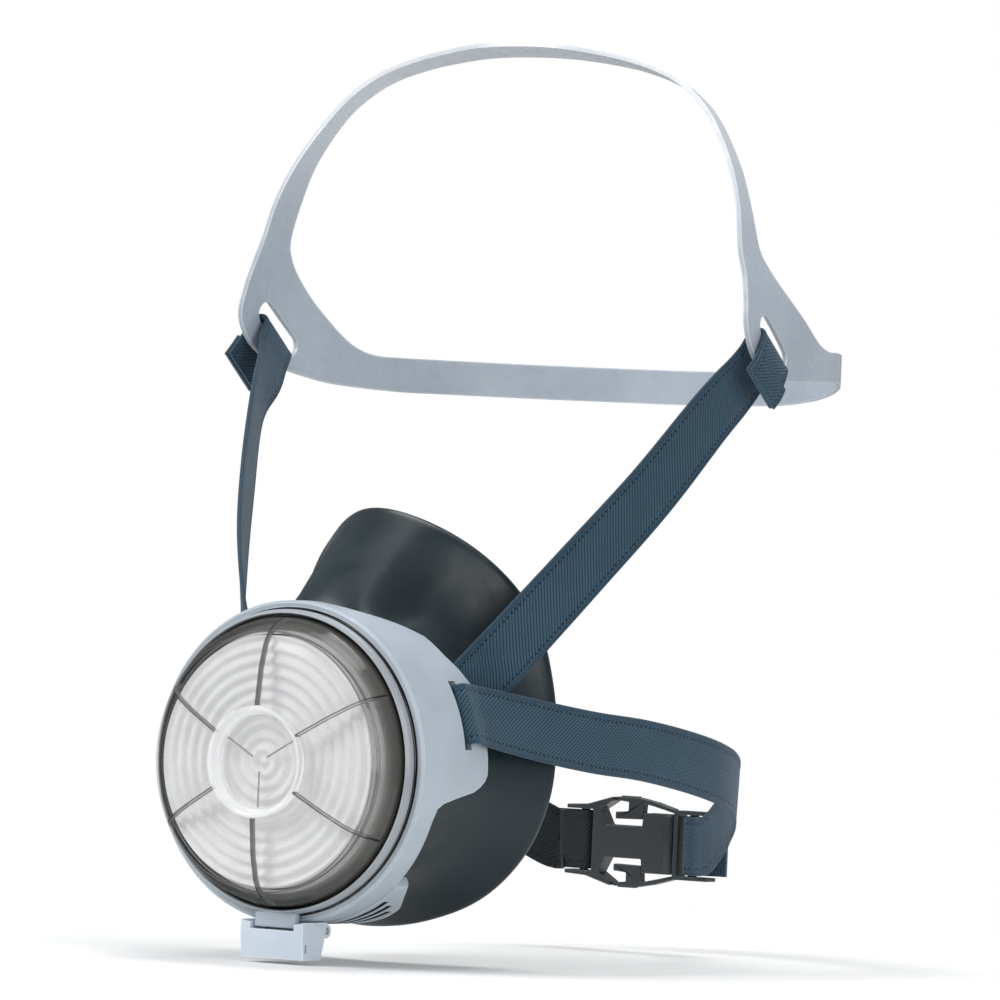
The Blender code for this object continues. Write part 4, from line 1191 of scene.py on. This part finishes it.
# ---- neck buckle ----
def buckle():
    """The CAD's buckle with a band round the socket's mouth and grip ribs on the arms."""
    dressed("buckle_female", BUCKLE.material, 0.45)
    for node in ("buckle_male", "release_arm_upper", "release_arm_lower"):
        dressed(node, BUCKLE.material, 0.35)
    x, y, z = BUCKLE_PLACE
    for face, side in (("front", -1), ("back", 1)):
        face_y = y + side * 2.9
        low, high = (x + 17.2, face_y - 0.35, z - 8.9), (x + 19.6, face_y + 0.35, z + 8.9)
        mouth = box(f"socket_mouth_{face}", low, high, BUCKLE.material, corner=0.3)
        rides(mouth, "neck_loop")
    for name, side in (("upper", 1), ("lower", -1)):
        arm_z = z + side * 13.75
        for k in range(5):
            left = x + 0.2 + 1.3 * k
            low, high = (left, y - 1.3, arm_z - 0.3), (left + 0.65, y + 1.3, arm_z + 0.3)
            rib = box(f"{name}_arm_rib_{k}", low, high, BUCKLE.material, corner=0.2)
            rides(rib, f"{name}_arm")


def latch():
    dressed("latch", LATCH.material, 0.3)
    dressed("latch_pin", STEEL.material, 0.1)


# ---- setting ----
def camera():
    """A long lens from the front and the wearer's left."""
    turn, rise, roll = (math.radians(v) for v in CAMERA_TURN)
    level = Vector((math.cos(turn), math.sin(turn), 0))
    ahead = Vector((-math.sin(turn) * math.cos(rise), math.cos(turn) * math.cos(rise), -math.sin(rise)))
    up = level.cross(ahead)
    side = level * math.cos(roll) + up * math.sin(roll)
    top = up * math.cos(roll) - level * math.sin(roll)
    data = bpy.data.cameras.new("camera")
    data.lens = CAMERA_LENS
    data.sensor_width = 36.0
    data.clip_start = 0.05
    data.clip_end = 20.0
    obj = placed("camera", data)
    where = (side * CAMERA_SHIFT[0] + top * CAMERA_SHIFT[1] - ahead * CAMERA_DISTANCE) * MM
    obj.matrix_world = Matrix.Translation(where) @ Matrix((side, top, -ahead)).transposed().to_4x4()
    bpy.context.scene.camera = obj


def light(name, place, aim, size, power):
    data = bpy.data.lights.new(name, "AREA")
    data.shape = "RECTANGLE"
    data.size, data.size_y = size
    data.energy = power
    obj = placed(name, data)
    obj.location = place
    obj.rotation_euler = (Vector(aim) - Vector(place)).to_track_quat("-Z", "Y").to_euler()


def backdrop():
    """A soft studio sky for light, and plain white where the camera looks past the object."""
    world = bpy.data.worlds.new("studio")
    bpy.context.scene.world = world
    world.use_nodes = True
    tree = world.node_tree
    sky = tree.nodes["Background"]
    sky.inputs["Color"].default_value = (0.96, 0.98, 1.0, 1.0)
    sky.inputs["Strength"].default_value = 0.42
    white = tree.nodes.new("ShaderNodeBackground")
    white.inputs["Color"].default_value = (1.0, 1.0, 1.0, 1.0)
    path = tree.nodes.new("ShaderNodeLightPath")
    mix = tree.nodes.new("ShaderNodeMixShader")
    for k, out in enumerate((path.outputs["Is Camera Ray"], sky.outputs[0], white.outputs[0])):
        tree.links.new(out, mix.inputs[k])
    tree.links.new(mix.outputs[0], tree.nodes["World Output"].inputs[0])
    bpy.context.scene.view_settings.view_transform = "Standard"


def lights():
    light("key", (-0.9, -1.3, 1.3), (0, 0.03, 0.06), (0.9, 0.9), 26)
    light("side", (1.5, -0.6, 0.5), (0, 0.03, 0.06), (0.7, 1.2), 9)
    light("top", (0.1, 0.4, 1.6), (0, 0.05, 0.06), (1.0, 0.7), 14)


def floor_disc():
    """A pale floor that fades out round the object."""
    floor = Look("floor", (0.9, 0.9, 0.9), 0.8)
    spread = floor.node("ShaderNodeVectorMath", {0: floor.place()}, operation="LENGTH")
    floor.set("Alpha", floor.ramp(spread.outputs["Value"], 0.16, 0.42, 0.9, 0.0))
    bm = bmesh.new()
    bmesh.ops.create_circle(bm, cap_ends=True, segments=96, radius=0.45)
    ground = piece("floor", bm, floor.material)
    ground.location = (0, 0.04, CAD_BOX[0].z - 0.0015)


filter_cap()
hub_spokes()
retaining_ring()
filter_media()
filter_frame()
filter_gasket()
front_housing()
exhalation_cover()
facepiece()
clamp_ring()
inhalation_valve()
exhalation_valve()
head_cradle()
upper_straps()
lower_straps()
buckle()
latch()
camera()
backdrop()
lights()
floor_disc()
